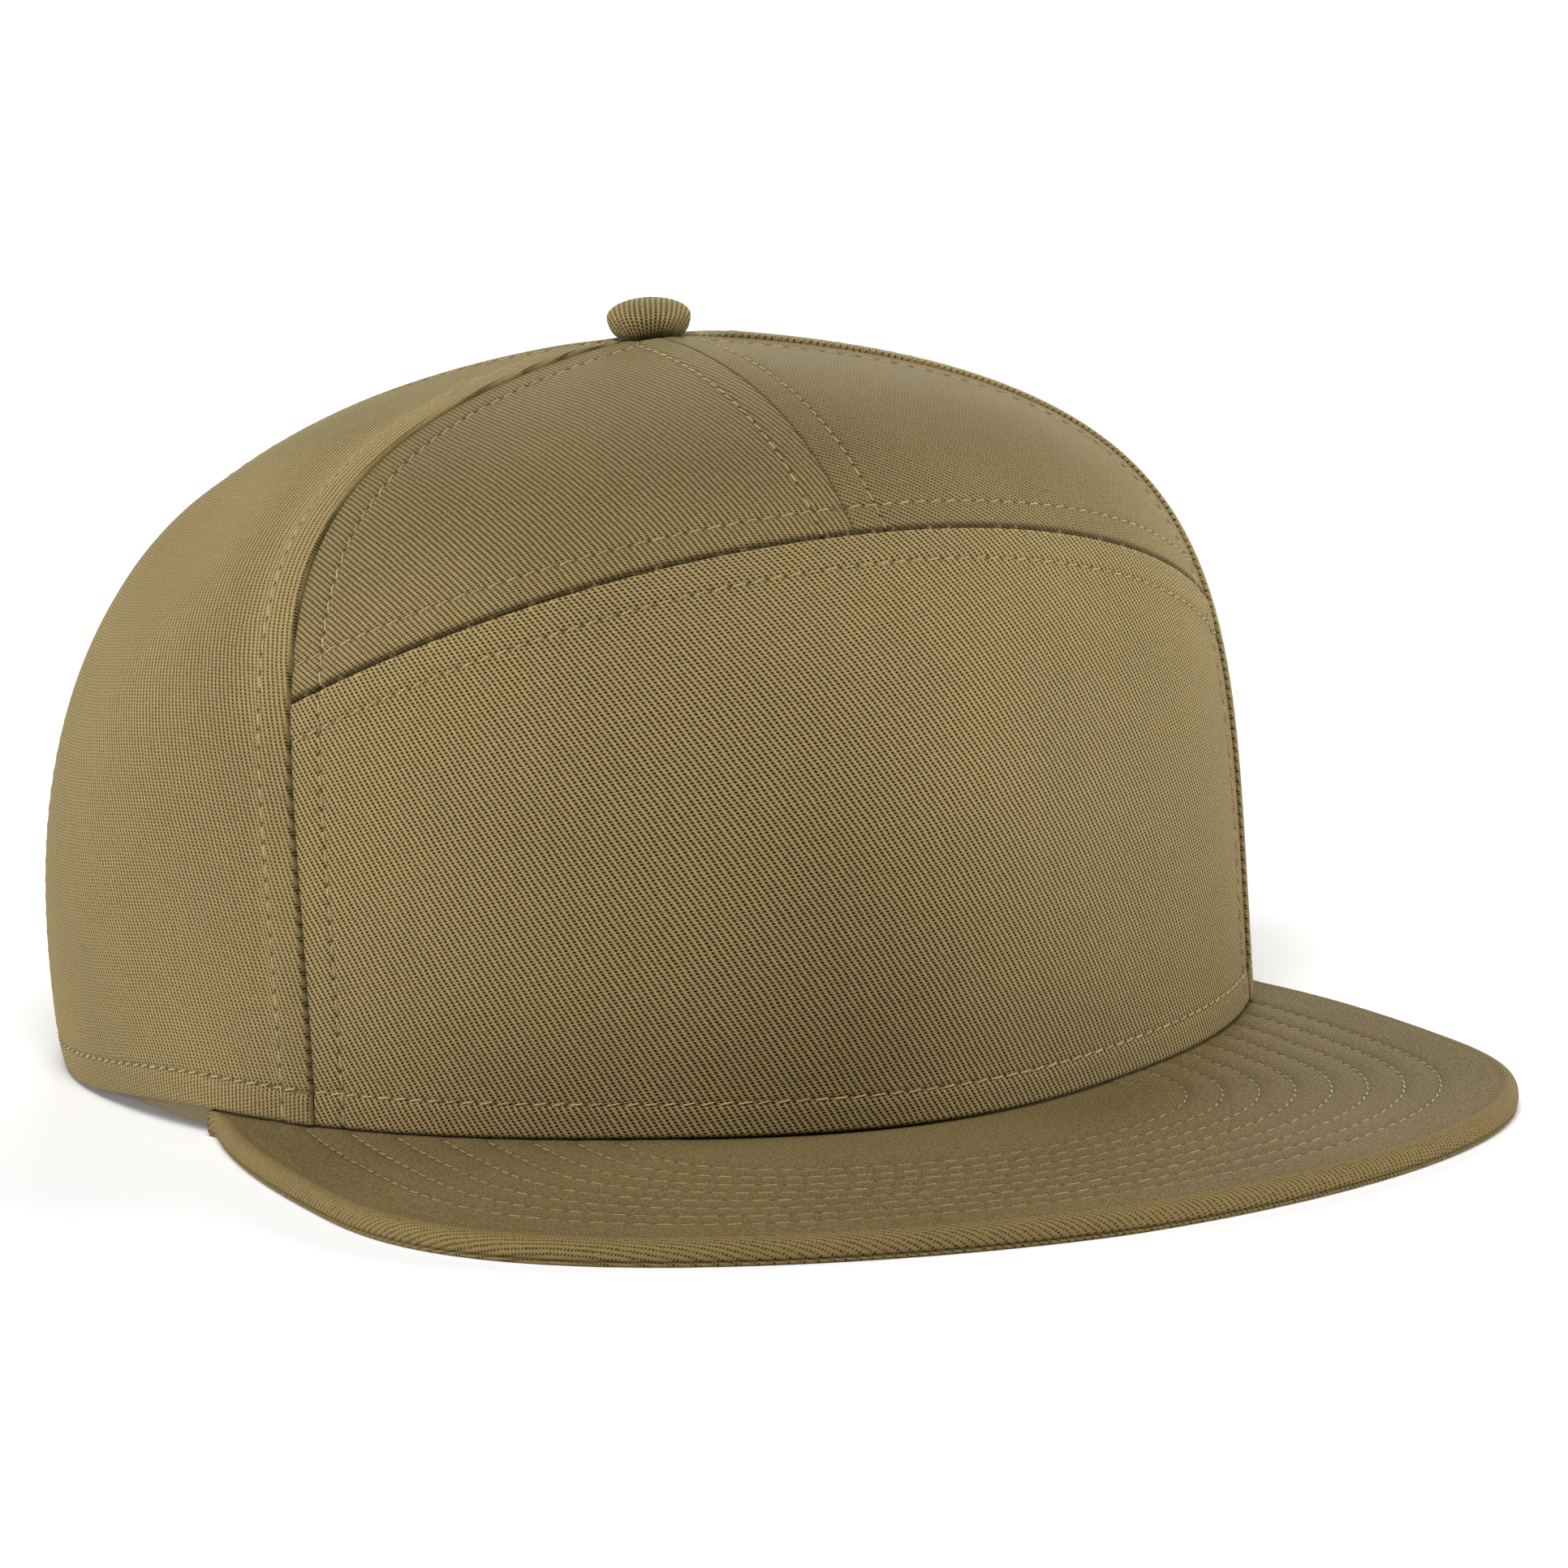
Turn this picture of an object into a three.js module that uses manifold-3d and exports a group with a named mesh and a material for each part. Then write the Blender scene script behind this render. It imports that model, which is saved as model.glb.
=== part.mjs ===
// A seven-panel snapback cap with a flat bill, in millimetres, +Z up, the bill towards -Y.
// The crown is a thin cloth wall cut into a wide front panel, two upper front panels, two side
// panels and two back panels. They meet under a covered button. A flat bill stands out of the
// front, a sweatband lines the rim, and a snap strap closes the half-moon opening at the back.
// Directions round the crown are angles in degrees from the front: +X is +90 and the back is 180.
import * as THREE from "three";

// The crown's sections, one row for each direction. rim is the wall's radius at its foot. lean tips
// the wall outwards there, rise and reach are how far the straight side and the flat top carry on,
// and slope is the fall from the button.
const SECTIONS = [
  { angle: 0, rim: 95.8, lean: 6.3, rise: 69.8, reach: 85.2, slope: 0.0 },
  { angle: 30, rim: 90.3, lean: 2.4, rise: 72.8, reach: 88.6, slope: 2.4 },
  { angle: 60, rim: 90.1, lean: -1.6, rise: 72.1, reach: 94.2, slope: 5.5 },
  { angle: 90, rim: 92.5, lean: 1.9, rise: 55.2, reach: 100.6, slope: 4.6 },
  { angle: 120, rim: 99.7, lean: 6.0, rise: 40.7, reach: 102.6, slope: 4.6 },
  { angle: 150, rim: 102.2, lean: 4.8, rise: 50.7, reach: 88.2, slope: 12.7 },
  { angle: 180, rim: 102.7, lean: 3.0, rise: 62.0, reach: 76.0, slope: 19.0 },
];
const SECTION_STEP = 30;
const CROWN_HEIGHT = 113.6;
const HEM_TUCK = { depth: 0.6, height: 7, from: 70, full: 95 }; // the rim turns in beside and behind the bill
const FOOT_FALL = { from: 74, to: 112 }; // past the bill the rim comes down to the surface

// Each seam's direction at the rim, and how it swings towards the button.
const FRONT_SEAM = { rim: 61.1, swing: 3.1, curl: 12.3 };
const BACK_SEAM = { rim: 118, swing: 8.0, curl: 0 };
const ARCH_SEAM = { centre: 91.3, side: 70.2, bend: 2.0 }; // heights of the front panel's top edge
const PANEL_SAG = { depth: 1.2, from: 0.4 }; // side and back panels hollow between their seams

const PANEL_WALL = 1.6;
const SEAM_GAP = 0.3;
const BUTTON_HOLE_RADIUS = 3;

// The bill's outline is half a superellipse ahead of its widest line and a longer half behind.
const BILL = { halfWidth: 94, widestY: -83.7, ahead: 79.3, behind: 141.5, sideBend: 1.73, frontBend: 2.58 };
const BILL_THICKNESS = 4.1;
const BILL_EDGE_ROUND = 1.3;
const BILL_END_ANGLE = 76;

const BUTTON = { radius: 6.6, height: 5.8, waist: 2.2, underside: 40, stemRadius: 2, stemLength: 4 };
const LINER_GAP = 0.8; // between the crown's wall and what lies inside it
const SWEATBAND = { wall: 1.2, bottom: 0.8, top: 30, endAngle: 148 };
const OPENING = { halfWidth: 38, height: 46, bend: 2.3 };
const STRAP = { wall: 2.2, bottom: 1, height: 20, endAngle: 151, pegs: 7, pegPitch: 9.5, pegRadius: 2.6, pegHeight: 1.5 };

const rad = THREE.MathUtils.degToRad;
const deg = THREE.MathUtils.radToDeg;
const { lerp, clamp, smoothstep } = THREE.MathUtils;

// One column of the section table at any angle: a smooth curve through the rows, alike on both sides.
function sectionValue(column, angle) {
  const row = (i) => SECTIONS[i < 0 ? -i : i >= SECTIONS.length ? 2 * (SECTIONS.length - 1) - i : i][column];
  const place = Math.abs(angle) / SECTION_STEP;
  const i = Math.min(Math.floor(place), SECTIONS.length - 2);
  const f = place - i;
  const [a, b, c, d] = [row(i - 1), row(i), row(i + 1), row(i + 2)];
  return 0.5 * (2 * b + (c - a) * f + (2 * a - 5 * b + 4 * c - d) * f * f + (3 * b - a - 3 * c + d) * f ** 3);
}

// The front of the crown stands on the bill, and its back and sides reach the surface.
const footHeight = (angle) =>
  (BILL_THICKNESS + SEAM_GAP) * (1 - smoothstep(Math.abs(angle), FOOT_FALL.from, FOOT_FALL.to));

// Radius and height on the wall's outside before it sags: a cubic curve from the rim, t = 0, to the button, t = 1.
function profilePoint(angle, t) {
  const foot = footHeight(angle);
  const rim = sectionValue("rim", angle);
  const lean = rad(sectionValue("lean", angle));
  const slope = rad(sectionValue("slope", angle));
  const rise = sectionValue("rise", angle);
  const reach = sectionValue("reach", angle);
  const u = 1 - t;
  const weights = [u ** 3, 3 * u * u * t, 3 * u * t * t, t ** 3];
  const radii = [rim, rim + rise * Math.sin(lean), reach * Math.cos(slope), 0];
  const heights = [foot, foot + rise * Math.cos(lean), CROWN_HEIGHT - reach * Math.sin(slope), CROWN_HEIGHT];
  const height = weights.reduce((sum, w, k) => sum + w * heights[k], 0);
  const tuckSide = smoothstep(Math.abs(angle), HEM_TUCK.from, HEM_TUCK.full);
  const tuck = HEM_TUCK.depth * tuckSide * clamp(1 - (height - foot) / HEM_TUCK.height, 0, 1) ** 2;
  return { radius: weights.reduce((sum, w, k) => sum + w * radii[k], 0) - tuck, height };
}

function smoothPoint(angle, t) {
  const { radius, height } = profilePoint(angle, t);
  return new THREE.Vector3(radius * Math.sin(rad(angle)), -radius * Math.cos(rad(angle)), height);
}

function wallNormal(angle, t) {
  const dt = 1e-3;
  const dAngle = 0.05;
  const inside = Math.min(t, 0.97);
  const up = smoothPoint(angle, Math.min(inside + dt, 1)).sub(smoothPoint(angle, Math.max(inside - dt, 0)));
  const round = smoothPoint(angle + dAngle, inside).sub(smoothPoint(angle - dAngle, inside));
  return round.cross(up).normalize();
}

const seamAngle = (seam, t) => seam.rim + seam.swing * t + seam.curl * t * t;

// How far the wall hollows: nothing along the seams and most half-way between them, above the rim.
function sagDepth(angle, t) {
  const side = Math.abs(angle);
  const front = seamAngle(FRONT_SEAM, t);
  const back = seamAngle(BACK_SEAM, t);
  if (side <= front || t <= PANEL_SAG.from) return 0;
  const across = side < back ? (side - front) / (back - front) : (side - back) / (180 - back);
  const up = (t - PANEL_SAG.from) / (1 - PANEL_SAG.from);
  return PANEL_SAG.depth * Math.sin(Math.PI * across) ** 2 * Math.sin(Math.PI * up) ** 2;
}

// A point of the wall, a depth inside its outer face.
function wallPoint(angle, t, depth = 0) {
  return smoothPoint(angle, t).addScaledVector(wallNormal(angle, t), -depth - sagDepth(angle, t));
}

// Where the wall's outer face reaches a height, found by halving.
function tAtHeight(angle, height) {
  let [low, high] = [0, 1];
  for (let i = 0; i < 30; i++) {
    const middle = (low + high) / 2;
    if (profilePoint(angle, middle).height < height) low = middle;
    else high = middle;
  }
  return (low + high) / 2;
}

function tAtRadius(angle, radius) {
  let [low, high] = [0.5, 1];
  for (let i = 0; i < 30; i++) {
    const middle = (low + high) / 2;
    if (profilePoint(angle, middle).radius > radius) low = middle;
    else high = middle;
  }
  return (low + high) / 2;
}

const archHeight = (angle) =>
  ARCH_SEAM.centre - (ARCH_SEAM.centre - ARCH_SEAM.side) * (Math.abs(angle) / FRONT_SEAM.rim) ** ARCH_SEAM.bend;

// Half the seam gap as an angle at the wall's radius there.
const gapAngle = (angle, t) => deg(SEAM_GAP / 2 / Math.max(profilePoint(angle, t).radius, BUTTON_HOLE_RADIUS));

// The closed solid between two grids of points: rows run up the wall and columns across it.
function gridSolid(outer, inner) {
  const rows = outer.length;
  const columns = outer[0].length;
  const points = [...outer.flat(), ...inner.flat()];
  const at = (row, column, layer) => layer * rows * columns + row * columns + column;
  const faces = [];
  const quad = (a, b, c, d) => faces.push(a, b, c, a, c, d);
  for (let r = 0; r < rows - 1; r++)
    for (let c = 0; c < columns - 1; c++) {
      quad(at(r, c, 0), at(r, c + 1, 0), at(r + 1, c + 1, 0), at(r + 1, c, 0));
      quad(at(r, c, 1), at(r + 1, c, 1), at(r + 1, c + 1, 1), at(r, c + 1, 1));
    }
  for (let r = 0; r < rows - 1; r++) {
    quad(at(r, 0, 0), at(r + 1, 0, 0), at(r + 1, 0, 1), at(r, 0, 1));
    quad(at(r, columns - 1, 0), at(r, columns - 1, 1), at(r + 1, columns - 1, 1), at(r + 1, columns - 1, 0));
  }
  for (let c = 0; c < columns - 1; c++) {
    quad(at(0, c, 0), at(0, c, 1), at(0, c + 1, 1), at(0, c + 1, 0));
    quad(at(rows - 1, c, 0), at(rows - 1, c + 1, 0), at(rows - 1, c + 1, 1), at(rows - 1, c, 1));
  }
  return meshGeometry(points, faces);
}

// The closed solid swept through convex sections of equally many points.
function sweepSolid(sections) {
  const count = sections[0].length;
  const faces = [];
  for (let s = 0; s < sections.length - 1; s++)
    for (let k = 0; k < count; k++) {
      const next = (k + 1) % count;
      const [a, b] = [s * count + k, s * count + next];
      faces.push(a, a + count, b + count, a, b + count, b);
    }
  const last = (sections.length - 1) * count;
  for (let k = 1; k < count - 1; k++) faces.push(0, k, k + 1, last, last + k + 1, last + k);
  return meshGeometry(sections.flat(), faces);
}

function meshGeometry(points, faces) {
  const geometry = new THREE.BufferGeometry().setFromPoints(points).setIndex(faces);
  geometry.computeVertexNormals();
  return geometry;
}

// A panel's solid from a function that gives its place on the wall, as an angle and t, for
// across and up from 0 to 1.
function panelSolid(place, columns, rows) {
  const grid = (depth) =>
    Array.from({ length: rows + 1 }, (_, r) =>
      Array.from({ length: columns + 1 }, (_, c) => {
        const { angle, t } = place(c / columns, r / rows);
        return wallPoint(angle, t, depth);
      }),
    );
  return gridSolid(grid(0), grid(PANEL_WALL));
}

// The place on the wall whose angle is bounded by two seams and whose t is bounded by two edges.
// Each bound depends on the other coordinate, so a few rounds settle both.
function settlePlace(across, up, leftAt, rightAt, bottomAt, topAt) {
  let t = up;
  let angle = 0;
  for (let round = 0; round < 8; round++) {
    angle = lerp(leftAt(t), rightAt(t), across);
    t = lerp(bottomAt(angle), topAt(angle), up);
  }
  return { angle, t };
}

const rightOfSeam = (seam, side) => (t) => {
  const angle = side * seamAngle(seam, t);
  return angle + gapAngle(angle, t);
};
const leftOfSeam = (seam, side) => (t) => {
  const angle = side * seamAngle(seam, t);
  return angle - gapAngle(angle, t);
};
const rimEdge = () => 0;
const buttonEdge = (angle) => tAtRadius(angle, BUTTON_HOLE_RADIUS);

function frontPanel() {
  const top = (angle) => tAtHeight(angle, archHeight(angle) - SEAM_GAP / 2);
  const place = (across, up) =>
    settlePlace(across, up, rightOfSeam(FRONT_SEAM, -1), leftOfSeam(FRONT_SEAM, 1), rimEdge, top);
  return panelSolid(place, 24, 12);
}

const CENTRE_SEAM = { rim: 0, swing: 0, curl: 0 };

function upperFrontPanel(side) {
  const bottom = (angle) => tAtHeight(angle, archHeight(angle) + SEAM_GAP / 2);
  const [left, right] =
    side > 0
      ? [rightOfSeam(CENTRE_SEAM, 1), leftOfSeam(FRONT_SEAM, 1)]
      : [rightOfSeam(FRONT_SEAM, -1), leftOfSeam(CENTRE_SEAM, 1)];
  return panelSolid((across, up) => settlePlace(across, up, left, right, bottom, buttonEdge), 12, 12);
}

function sidePanel(side) {
  const [left, right] =
    side > 0
      ? [rightOfSeam(FRONT_SEAM, 1), leftOfSeam(BACK_SEAM, 1)]
      : [rightOfSeam(BACK_SEAM, -1), leftOfSeam(FRONT_SEAM, -1)];
  return panelSolid((across, up) => settlePlace(across, up, left, right, rimEdge, buttonEdge), 12, 20);
}

// The lower edge of a back panel as places on the wall: along the rim from the seam to the
// opening, then up the half moon to the middle of the back.
function backPanelEdge(count) {
  const rimShare = 0.42;
  const archAngle = (x, height, start) => {
    let angle = start;
    for (let round = 0; round < 12; round++) {
      const radius = profilePoint(angle, tAtHeight(angle, height)).radius;
      angle = 180 - deg(Math.asin(x / radius));
    }
    return angle;
  };
  const corner = archAngle(OPENING.halfWidth, 0, 158);
  const start = seamAngle(BACK_SEAM, 0);
  return Array.from({ length: count + 1 }, (_, i) => {
    const along = i / count;
    if (along <= rimShare) return { angle: lerp(start, corner, along / rimShare), t: 0 };
    const turn = ((along - rimShare) / (1 - rimShare)) * (Math.PI / 2);
    const x = OPENING.halfWidth * Math.cos(turn) ** (2 / OPENING.bend);
    const height = OPENING.height * Math.sin(turn) ** (2 / OPENING.bend);
    const angle = i === count ? 180 : archAngle(x, height, 170);
    return { angle, t: tAtHeight(angle, height) };
  });
}

function backPanel(side) {
  const columns = 16;
  const edge = backPanelEdge(columns);
  // Share of the way from the middle of the back to the seam, which turns from the edge's own
  // spacing into an even one towards the button.
  const share = (angle, t) => (180 - angle) / (180 - seamAngle(BACK_SEAM, t));
  const place = (across, up) => {
    const column = Math.round((side > 0 ? across : 1 - across) * columns);
    const low = edge[column];
    const even = 1 - column / columns;
    const kept = lerp(share(low.angle, low.t), even, smoothstep(up, 0, 0.7));
    let angle = 180;
    let t = low.t;
    for (let round = 0; round < 8; round++) {
      t = lerp(low.t, buttonEdge(angle), up);
      const gap = gapAngle(angle, t);
      angle = lerp(180 - gap, seamAngle(BACK_SEAM, t) + gap, kept);
    }
    return { angle: side * angle, t };
  };
  return panelSolid(place, columns, 20);
}

// How far the bill's outline lies from the button's axis in a direction, found by halving.
function billReach(angle) {
  const direction = { x: Math.abs(Math.sin(rad(angle))), y: -Math.cos(rad(angle)) };
  const outside = (reach) => {
    const along = direction.y * reach - BILL.widestY;
    const half = along < 0 ? BILL.ahead : BILL.behind;
    const across = (direction.x * reach) / BILL.halfWidth;
    return across ** BILL.sideBend + Math.abs(along / half) ** BILL.frontBend > 1;
  };
  let [low, high] = [60, 200];
  for (let i = 0; i < 30; i++) {
    const middle = (low + high) / 2;
    if (outside(middle)) high = middle;
    else low = middle;
  }
  return (low + high) / 2;
}

// A flat board with a rounded edge. Its inner margin lies under the crown's wall.
function bill() {
  const steps = 64;
  const edge = Array.from({ length: 5 }, (_, k) => rad(-90 + 45 * k));
  const sections = Array.from({ length: steps + 1 }, (_, i) => {
    const angle = lerp(-BILL_END_ANGLE, BILL_END_ANGLE, i / steps);
    const inner = profilePoint(angle, 0).radius - PANEL_WALL;
    const outer = Math.max(billReach(angle), inner + PANEL_WALL + SEAM_GAP);
    const middle = BILL_THICKNESS / 2;
    const profile = [
      [inner, 0],
      ...edge.map((a) => [outer - BILL_EDGE_ROUND * (1 - Math.cos(a)), middle + middle * Math.sin(a)]),
      [inner, BILL_THICKNESS],
    ];
    return profile.map(([r, z]) => new THREE.Vector3(r * Math.sin(rad(angle)), -r * Math.cos(rad(angle)), z));
  });
  return sweepSolid(sections);
}

// A cloth-covered button, widest at its waist, with a stem through the hole where the panels meet.
function button() {
  const { radius, height, waist, underside, stemRadius, stemLength } = BUTTON;
  const dome = Array.from({ length: 11 }, (_, k) => {
    const a = rad(lerp(-underside, 90, k / 10));
    const rise = a < 0 ? (waist * Math.sin(a)) / Math.sin(rad(underside)) : (height - waist) * Math.sin(a);
    return new THREE.Vector2(k === 10 ? 0 : radius * Math.cos(a) ** 0.8, waist + rise);
  });
  const stem = [new THREE.Vector2(0, -stemLength), new THREE.Vector2(stemRadius, -stemLength)];
  const geometry = new THREE.LatheGeometry([...stem, new THREE.Vector2(stemRadius, 0), ...dome], 28);
  return geometry.rotateX(Math.PI / 2);
}

// A point beside the wall's inner face at a height, which goes straight down below the crown's foot.
function linerPoint(angle, height, depth) {
  const t = tAtHeight(angle, Math.max(height, footHeight(angle)));
  const radius = profilePoint(angle, t).radius - PANEL_WALL - LINER_GAP - depth;
  return new THREE.Vector3(radius * Math.sin(rad(angle)), -radius * Math.cos(rad(angle)), height);
}

function sweatband() {
  const rows = 5;
  const columns = 72;
  const grid = (depth) =>
    Array.from({ length: rows + 1 }, (_, r) =>
      Array.from({ length: columns + 1 }, (_, c) =>
        linerPoint(
          lerp(-SWEATBAND.endAngle, SWEATBAND.endAngle, c / columns),
          lerp(SWEATBAND.bottom, SWEATBAND.top, r / rows),
          depth,
        ),
      ),
    );
  return gridSolid(grid(0), grid(SWEATBAND.wall));
}

// The closed snap strap: a plastic band across the back opening with a row of round pegs.
async function snapStrap() {
  const { default: Module } = await import("manifold-3d");
  const { mergeVertices } = await import("three/addons/utils/BufferGeometryUtils.js");
  const wasm = await Module();
  wasm.setup();
  const solidOf = (geometry) => {
    for (const name of ["normal", "uv"]) geometry.deleteAttribute(name);
    const merged = mergeVertices(geometry, 1e-4);
    const vertProperties = new Float32Array(merged.attributes.position.array);
    return new wasm.Manifold(new wasm.Mesh({ numProp: 3, vertProperties, triVerts: new Uint32Array(merged.index.array) }));
  };
  const middle = STRAP.bottom + STRAP.height / 2;
  const columns = 20;
  const bandRadius = (angle) => profilePoint(angle, 0).radius - PANEL_WALL - LINER_GAP;
  const grid = (depth) =>
    [STRAP.bottom, STRAP.bottom + STRAP.height].map((z) =>
      Array.from({ length: columns + 1 }, (_, c) => {
        const angle = lerp(STRAP.endAngle, 360 - STRAP.endAngle, c / columns);
        const folded = angle > 180 ? 360 - angle : angle;
        const radius = bandRadius(folded) - depth;
        return new THREE.Vector3(radius * Math.sin(rad(angle)), -radius * Math.cos(rad(angle)), z);
      }),
    );
  let strap = solidOf(gridSolid(grid(0), grid(STRAP.wall)));
  for (let k = 0; k < STRAP.pegs; k++) {
    const turn = ((k - (STRAP.pegs - 1) / 2) * STRAP.pegPitch) / bandRadius(180);
    const length = STRAP.pegHeight + STRAP.wall / 2;
    const peg = new THREE.CylinderGeometry(STRAP.pegRadius * 0.8, STRAP.pegRadius, length, 12);
    peg.translate(0, bandRadius(180 - Math.abs(deg(turn))) + STRAP.pegHeight - length / 2, middle);
    peg.rotateZ(-turn);
    strap = strap.add(solidOf(peg));
  }
  const { numProp, vertProperties, triVerts } = strap.getMesh();
  const geometry = new THREE.BufferGeometry();
  geometry.setAttribute("position", new THREE.BufferAttribute(new Float32Array(vertProperties), numProp));
  geometry.setIndex(new THREE.BufferAttribute(new Uint32Array(triVerts), 1));
  geometry.computeVertexNormals();
  return geometry;
}

const twill = new THREE.MeshStandardMaterial({ color: 0xa08c5c, roughness: 0.9, side: THREE.DoubleSide });
const billTwill = new THREE.MeshStandardMaterial({ color: 0x8c784c, roughness: 0.9 });
const bandCotton = new THREE.MeshStandardMaterial({ color: 0x8f7d52, roughness: 0.95 });
const strapPlastic = new THREE.MeshStandardMaterial({ color: 0x85744a, roughness: 0.4 });

const cap = new THREE.Group();

function addPiece(name, geometry, material, height = 0) {
  const mesh = new THREE.Mesh(geometry, material);
  mesh.name = name;
  mesh.position.z = height;
  cap.add(mesh);
}

addPiece("front_panel", frontPanel(), twill);
for (const [name, side] of [["left", 1], ["right", -1]]) {
  addPiece(`upper_front_panel_${name}`, upperFrontPanel(side), twill);
  addPiece(`side_panel_${name}`, sidePanel(side), twill);
  addPiece(`back_panel_${name}`, backPanel(side), twill);
}
addPiece("button", button(), twill, CROWN_HEIGHT + SEAM_GAP);
addPiece("bill", bill(), billTwill);
addPiece("sweatband", sweatband(), bandCotton);
addPiece("snap_strap", await snapStrap(), strapPlastic);

// The frame's origin is under the middle of the cap, on the surface that it stands on.
const bounds = new THREE.Box3().setFromObject(cap);
cap.position.set(0, -(bounds.min.y + bounds.max.y) / 2, -bounds.min.z);

export default cap;
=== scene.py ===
"""A seven-panel snapback cap in olive-brown cotton twill: sewn crown, covered button, flat bill, snap strap.

Lengths are millimetres and directions round the crown are degrees from the front, with +X at 90 and the
back at 180, until a mesh is made in metres. The crown's axis stands CENTRE_Y behind the frame's origin.
FAR stands for the distance from a row of stitches where none is near.
"""
import enum
import logging
import math
from collections.abc import Callable
from dataclasses import dataclass, field

import bpy
import numpy as np
from mathutils import Matrix, Vector


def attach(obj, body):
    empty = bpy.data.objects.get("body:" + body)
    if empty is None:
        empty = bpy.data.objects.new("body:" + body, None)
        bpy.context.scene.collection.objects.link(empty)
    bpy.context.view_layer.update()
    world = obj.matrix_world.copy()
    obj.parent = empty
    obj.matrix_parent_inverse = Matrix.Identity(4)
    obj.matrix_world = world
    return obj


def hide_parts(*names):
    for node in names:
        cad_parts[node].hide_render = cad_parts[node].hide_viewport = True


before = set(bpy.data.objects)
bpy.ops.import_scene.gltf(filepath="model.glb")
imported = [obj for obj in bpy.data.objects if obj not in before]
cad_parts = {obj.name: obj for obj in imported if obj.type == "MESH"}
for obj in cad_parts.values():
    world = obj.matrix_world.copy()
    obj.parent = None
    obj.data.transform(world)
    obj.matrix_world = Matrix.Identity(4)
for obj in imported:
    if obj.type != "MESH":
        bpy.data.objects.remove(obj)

Array = np.ndarray
LOG = logging.getLogger("cap")
MM = 0.001
CENTRE_Y = 30.9
BODY = "root"
SEED = 7
FAR = 9.0


class Slot(enum.Enum):
    """The record's material slots."""

    CLOTH = "cloth"
    BILL = "bill_cloth"
    BAND = "band_cloth"
    STRAP = "strap_plastic"


class Edge(enum.Enum):
    """A side of a panel's grid: its first and last column, its lowest and highest row."""

    LOW_SIDE = "first column"
    HIGH_SIDE = "last column"
    FOOT = "lowest row"
    HEAD = "highest row"

    @property
    def upright(self) -> bool:
        """Says whether it is a side."""
        return self in (Edge.LOW_SIDE, Edge.HIGH_SIDE)


def smoothstep(value: Array | float, low: Array | float, high: Array | float) -> Array:
    """Returns 3s² - 2s³ with s the share of the way from low to high, held between 0 and 1."""
    share = np.clip((value - low) / (high - low), 0, 1)
    return share * share * (3 - 2 * share)


def unit(vectors: Array) -> Array:
    """Returns the vectors at length 1."""
    return vectors / np.maximum(np.linalg.norm(vectors, axis=-1, keepdims=True), 1e-12)


def arc_lengths(line: Array) -> Array:
    """Returns the length along a line of points at each point, from 0."""
    steps = np.linalg.norm(np.diff(line, axis=0), axis=-1)
    return np.concatenate([[0.0], np.cumsum(steps)])


def nearest_on_line(points: Array, line: Array) -> tuple[Array, Array]:
    """Finds the nearest place on a line of straight segments for each point.

    With p a point, a a segment's start and s its step, the place is a + s clip((p-a)·s / s·s, 0, 1).

    Args:
        points: places, shape (..., 3).
        line: the line's points, shape (m, 3).

    Returns:
        The distance to the line and the length along it there, both shaped like points without its last axis.
    """
    flat = points.reshape(-1, 3)
    start, step = line[:-1], np.diff(line, axis=0)
    size = np.maximum((step * step).sum(-1), 1e-12)
    length = np.sqrt(size)
    before = arc_lengths(line)[:-1]
    distances, places = [], []
    for part in np.array_split(flat, max(1, len(flat) * len(start) // 4_000_000)):
        along = part @ step.T - (start * step).sum(-1)
        share = np.clip(along / size, 0, 1)
        square = (part * part).sum(-1)[:, None] + (start * start).sum(-1) - 2 * part @ start.T
        square = square - 2 * share * along + share * share * size
        best = square.argmin(axis=1)
        rows = np.arange(len(part))
        distances.append(np.sqrt(np.maximum(square[rows, best], 0)))
        places.append(before[best] + share[rows, best] * length[best])
    shape = points.shape[:-1]
    return np.concatenate(distances).reshape(shape), np.concatenate(places).reshape(shape)


def along_line(line: Array, values: Array, at: Array) -> Array:
    """Returns values, given at each of the line's lengths, read off at other lengths.

    Args:
        line: rising lengths, shape (m,).
        values: what is read, shape (m, k).
        at: the lengths to read at, any shape.

    Returns:
        The values there, shape (*at.shape, k).
    """
    return np.stack([np.interp(at, line, values[:, k]) for k in range(values.shape[1])], axis=-1)


def halve(beyond: Callable[[Array], Array], shape: tuple[int, ...], low: float = 0.0, high: float = 1.0,
          rounds: int = 30) -> Array:
    """Finds where a condition starts to hold, by halving the span from low to high.

    Args:
        beyond: says for an array of values where it holds.
        shape: the array's shape.
        low: a value for which it doesn't hold.
        high: a value for which it holds.
        rounds: how often the span is halved.

    Returns:
        The values from which it holds.
    """
    lows, highs = np.full(shape, low), np.full(shape, high)
    for _ in range(rounds):
        middle = (lows + highs) / 2
        past = beyond(middle)
        lows, highs = np.where(past, lows, middle), np.where(past, middle, highs)
    return (lows + highs) / 2


def nearest_row(points: Array, lines: list[Array], period: float) -> tuple[Array, Array]:
    """Finds the nearest of several rows of stitches for each point.

    Args:
        points: places, shape (..., 3).
        lines: each row as a line of points.
        period: how far apart its stitches lie.

    Returns:
        The distance from that row, FAR at most, and the count of stitches along it.
    """
    near, count = np.full(points.shape[:-1], FAR), np.zeros(points.shape[:-1])
    for line in lines:
        distance, length = nearest_on_line(points, line)
        closer = distance < near
        near, count = np.where(closer, distance, near), np.where(closer, length / period, count)
    return near, count


def squared(wave: Array, power: float) -> Array:
    """Returns a wave with its crests drawn square: sign(w) |w|^power."""
    return np.sign(wave) * np.abs(wave) ** power


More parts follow.
